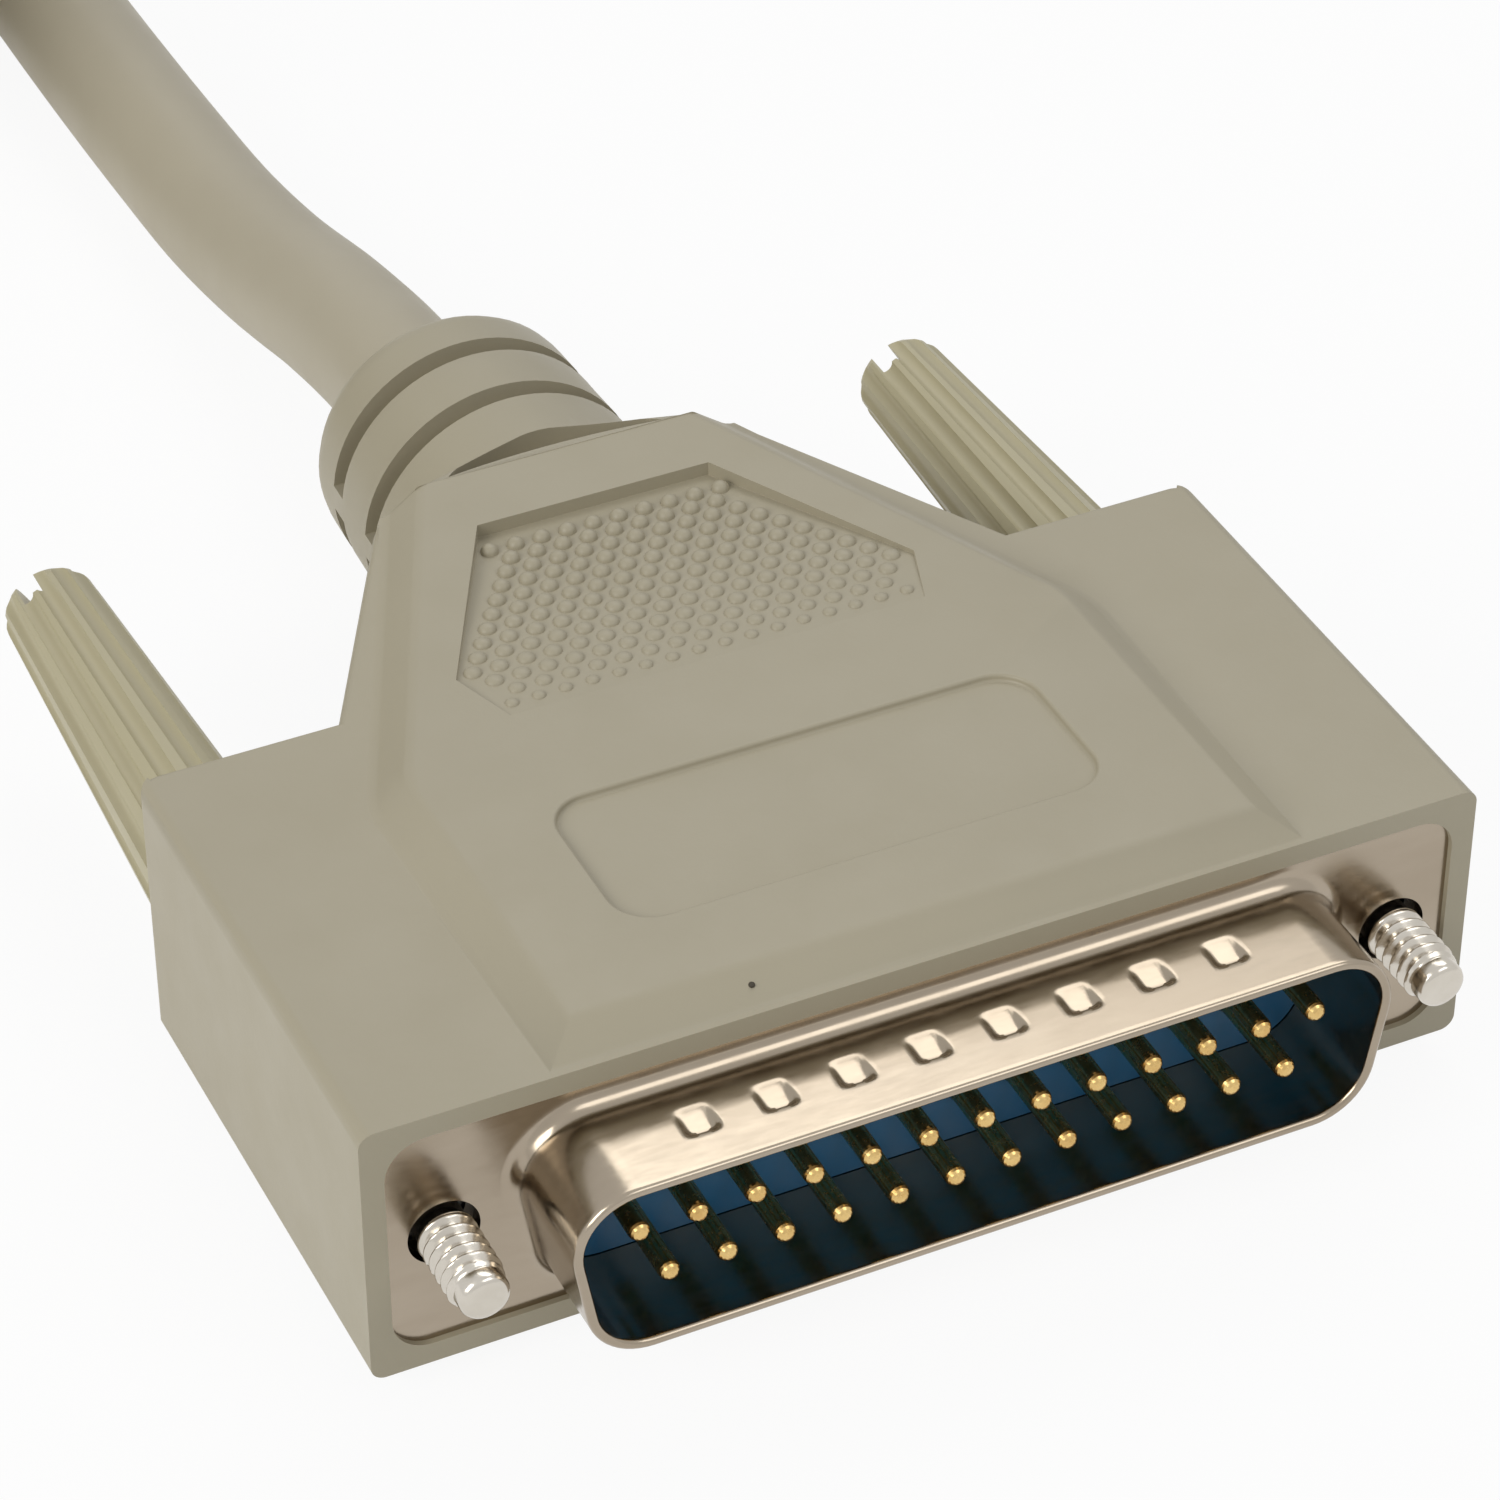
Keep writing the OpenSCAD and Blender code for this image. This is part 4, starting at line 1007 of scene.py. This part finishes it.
# %% [markdown]
# ## Soft studio light
#
# Three softboxes light the plug: a large key from the left, which models the hood, a strip in front
# for the shell and the pins, and one behind, which brightens the top edges and the cable. Point
# lamps would do for the vinyl, but metal shows its lamps, and only a large one gives it soft streaks.


# %%
def softbox(name, at, target, size, power, colour):
    """A rectangular area light of some watts that faces a point."""
    light = bpy.data.lights.new(name, "AREA")
    light.shape = "RECTANGLE"
    light.size, light.size_y = size
    light.energy = power
    light.color = colour
    obj = put(name, light)
    obj.location = at
    obj.rotation_euler = (Vector(target) - Vector(at)).to_track_quat("-Z", "Y").to_euler()
    print(f"{name}: {power} W")


WARM, NEUTRAL, SOFT_WARM = (1, 0.99, 0.96), (1, 1, 1), (1, 0.99, 0.97)
softbox("key", at=(-0.6, -0.2, 0.42), target=(0, 0, 0.01), size=(0.45, 0.4), power=2.6, colour=WARM)
softbox("strip", at=(0.3, -0.5, 0.6), target=(0, 0, 0.01), size=(0.5, 0.3), power=0.9, colour=NEUTRAL)
softbox("back", at=(0.3, 0.35, 0.66), target=(0, 0, 0), size=(0.6, 0.36), power=1.4, colour=SOFT_WARM)

# %% [markdown]
# ## The camera
#
# The camera looks down on the plug from the front left. A long lens from a good distance keeps the
# plug's parallel edges nearly parallel. The camera could track an empty, but its three axes follow from
# two angles, so the script builds its matrix from them, and slides it sideways to frame the plug.

# %%
scene = bpy.context.scene
scene.view_settings.view_transform = "Standard"
TURN, TILT = math.radians(-25.53), math.radians(38.0)
DISTANCE = 239.02
SLIDE_RIGHT, SLIDE_UP = 8.12, -14.41
LENS, SENSOR = 129.4224, 36.0
back = Vector((math.sin(TURN) * math.cos(TILT), -math.cos(TURN) * math.cos(TILT), math.sin(TILT)))
right = Vector((math.cos(TURN), math.sin(TURN), 0))
up = back.cross(right)
eye = back * DISTANCE - right * SLIDE_RIGHT - up * SLIDE_UP + Vector((0, -MIDDLE_Y, AXIS_Z))
camera = put("camera", bpy.data.cameras.new("camera"))
camera.matrix_world = Matrix.Translation(eye * MM) @ Matrix((right, up, back)).transposed().to_4x4()
camera.data.sensor_width = SENSOR
camera.data.lens = LENS
camera.data.clip_start = 0.01
camera.data.clip_end = 20.0
scene.camera = camera
print("camera at", tuple(round(c, 4) for c in camera.matrix_world.translation), "with a lens of", LENS, "mm")
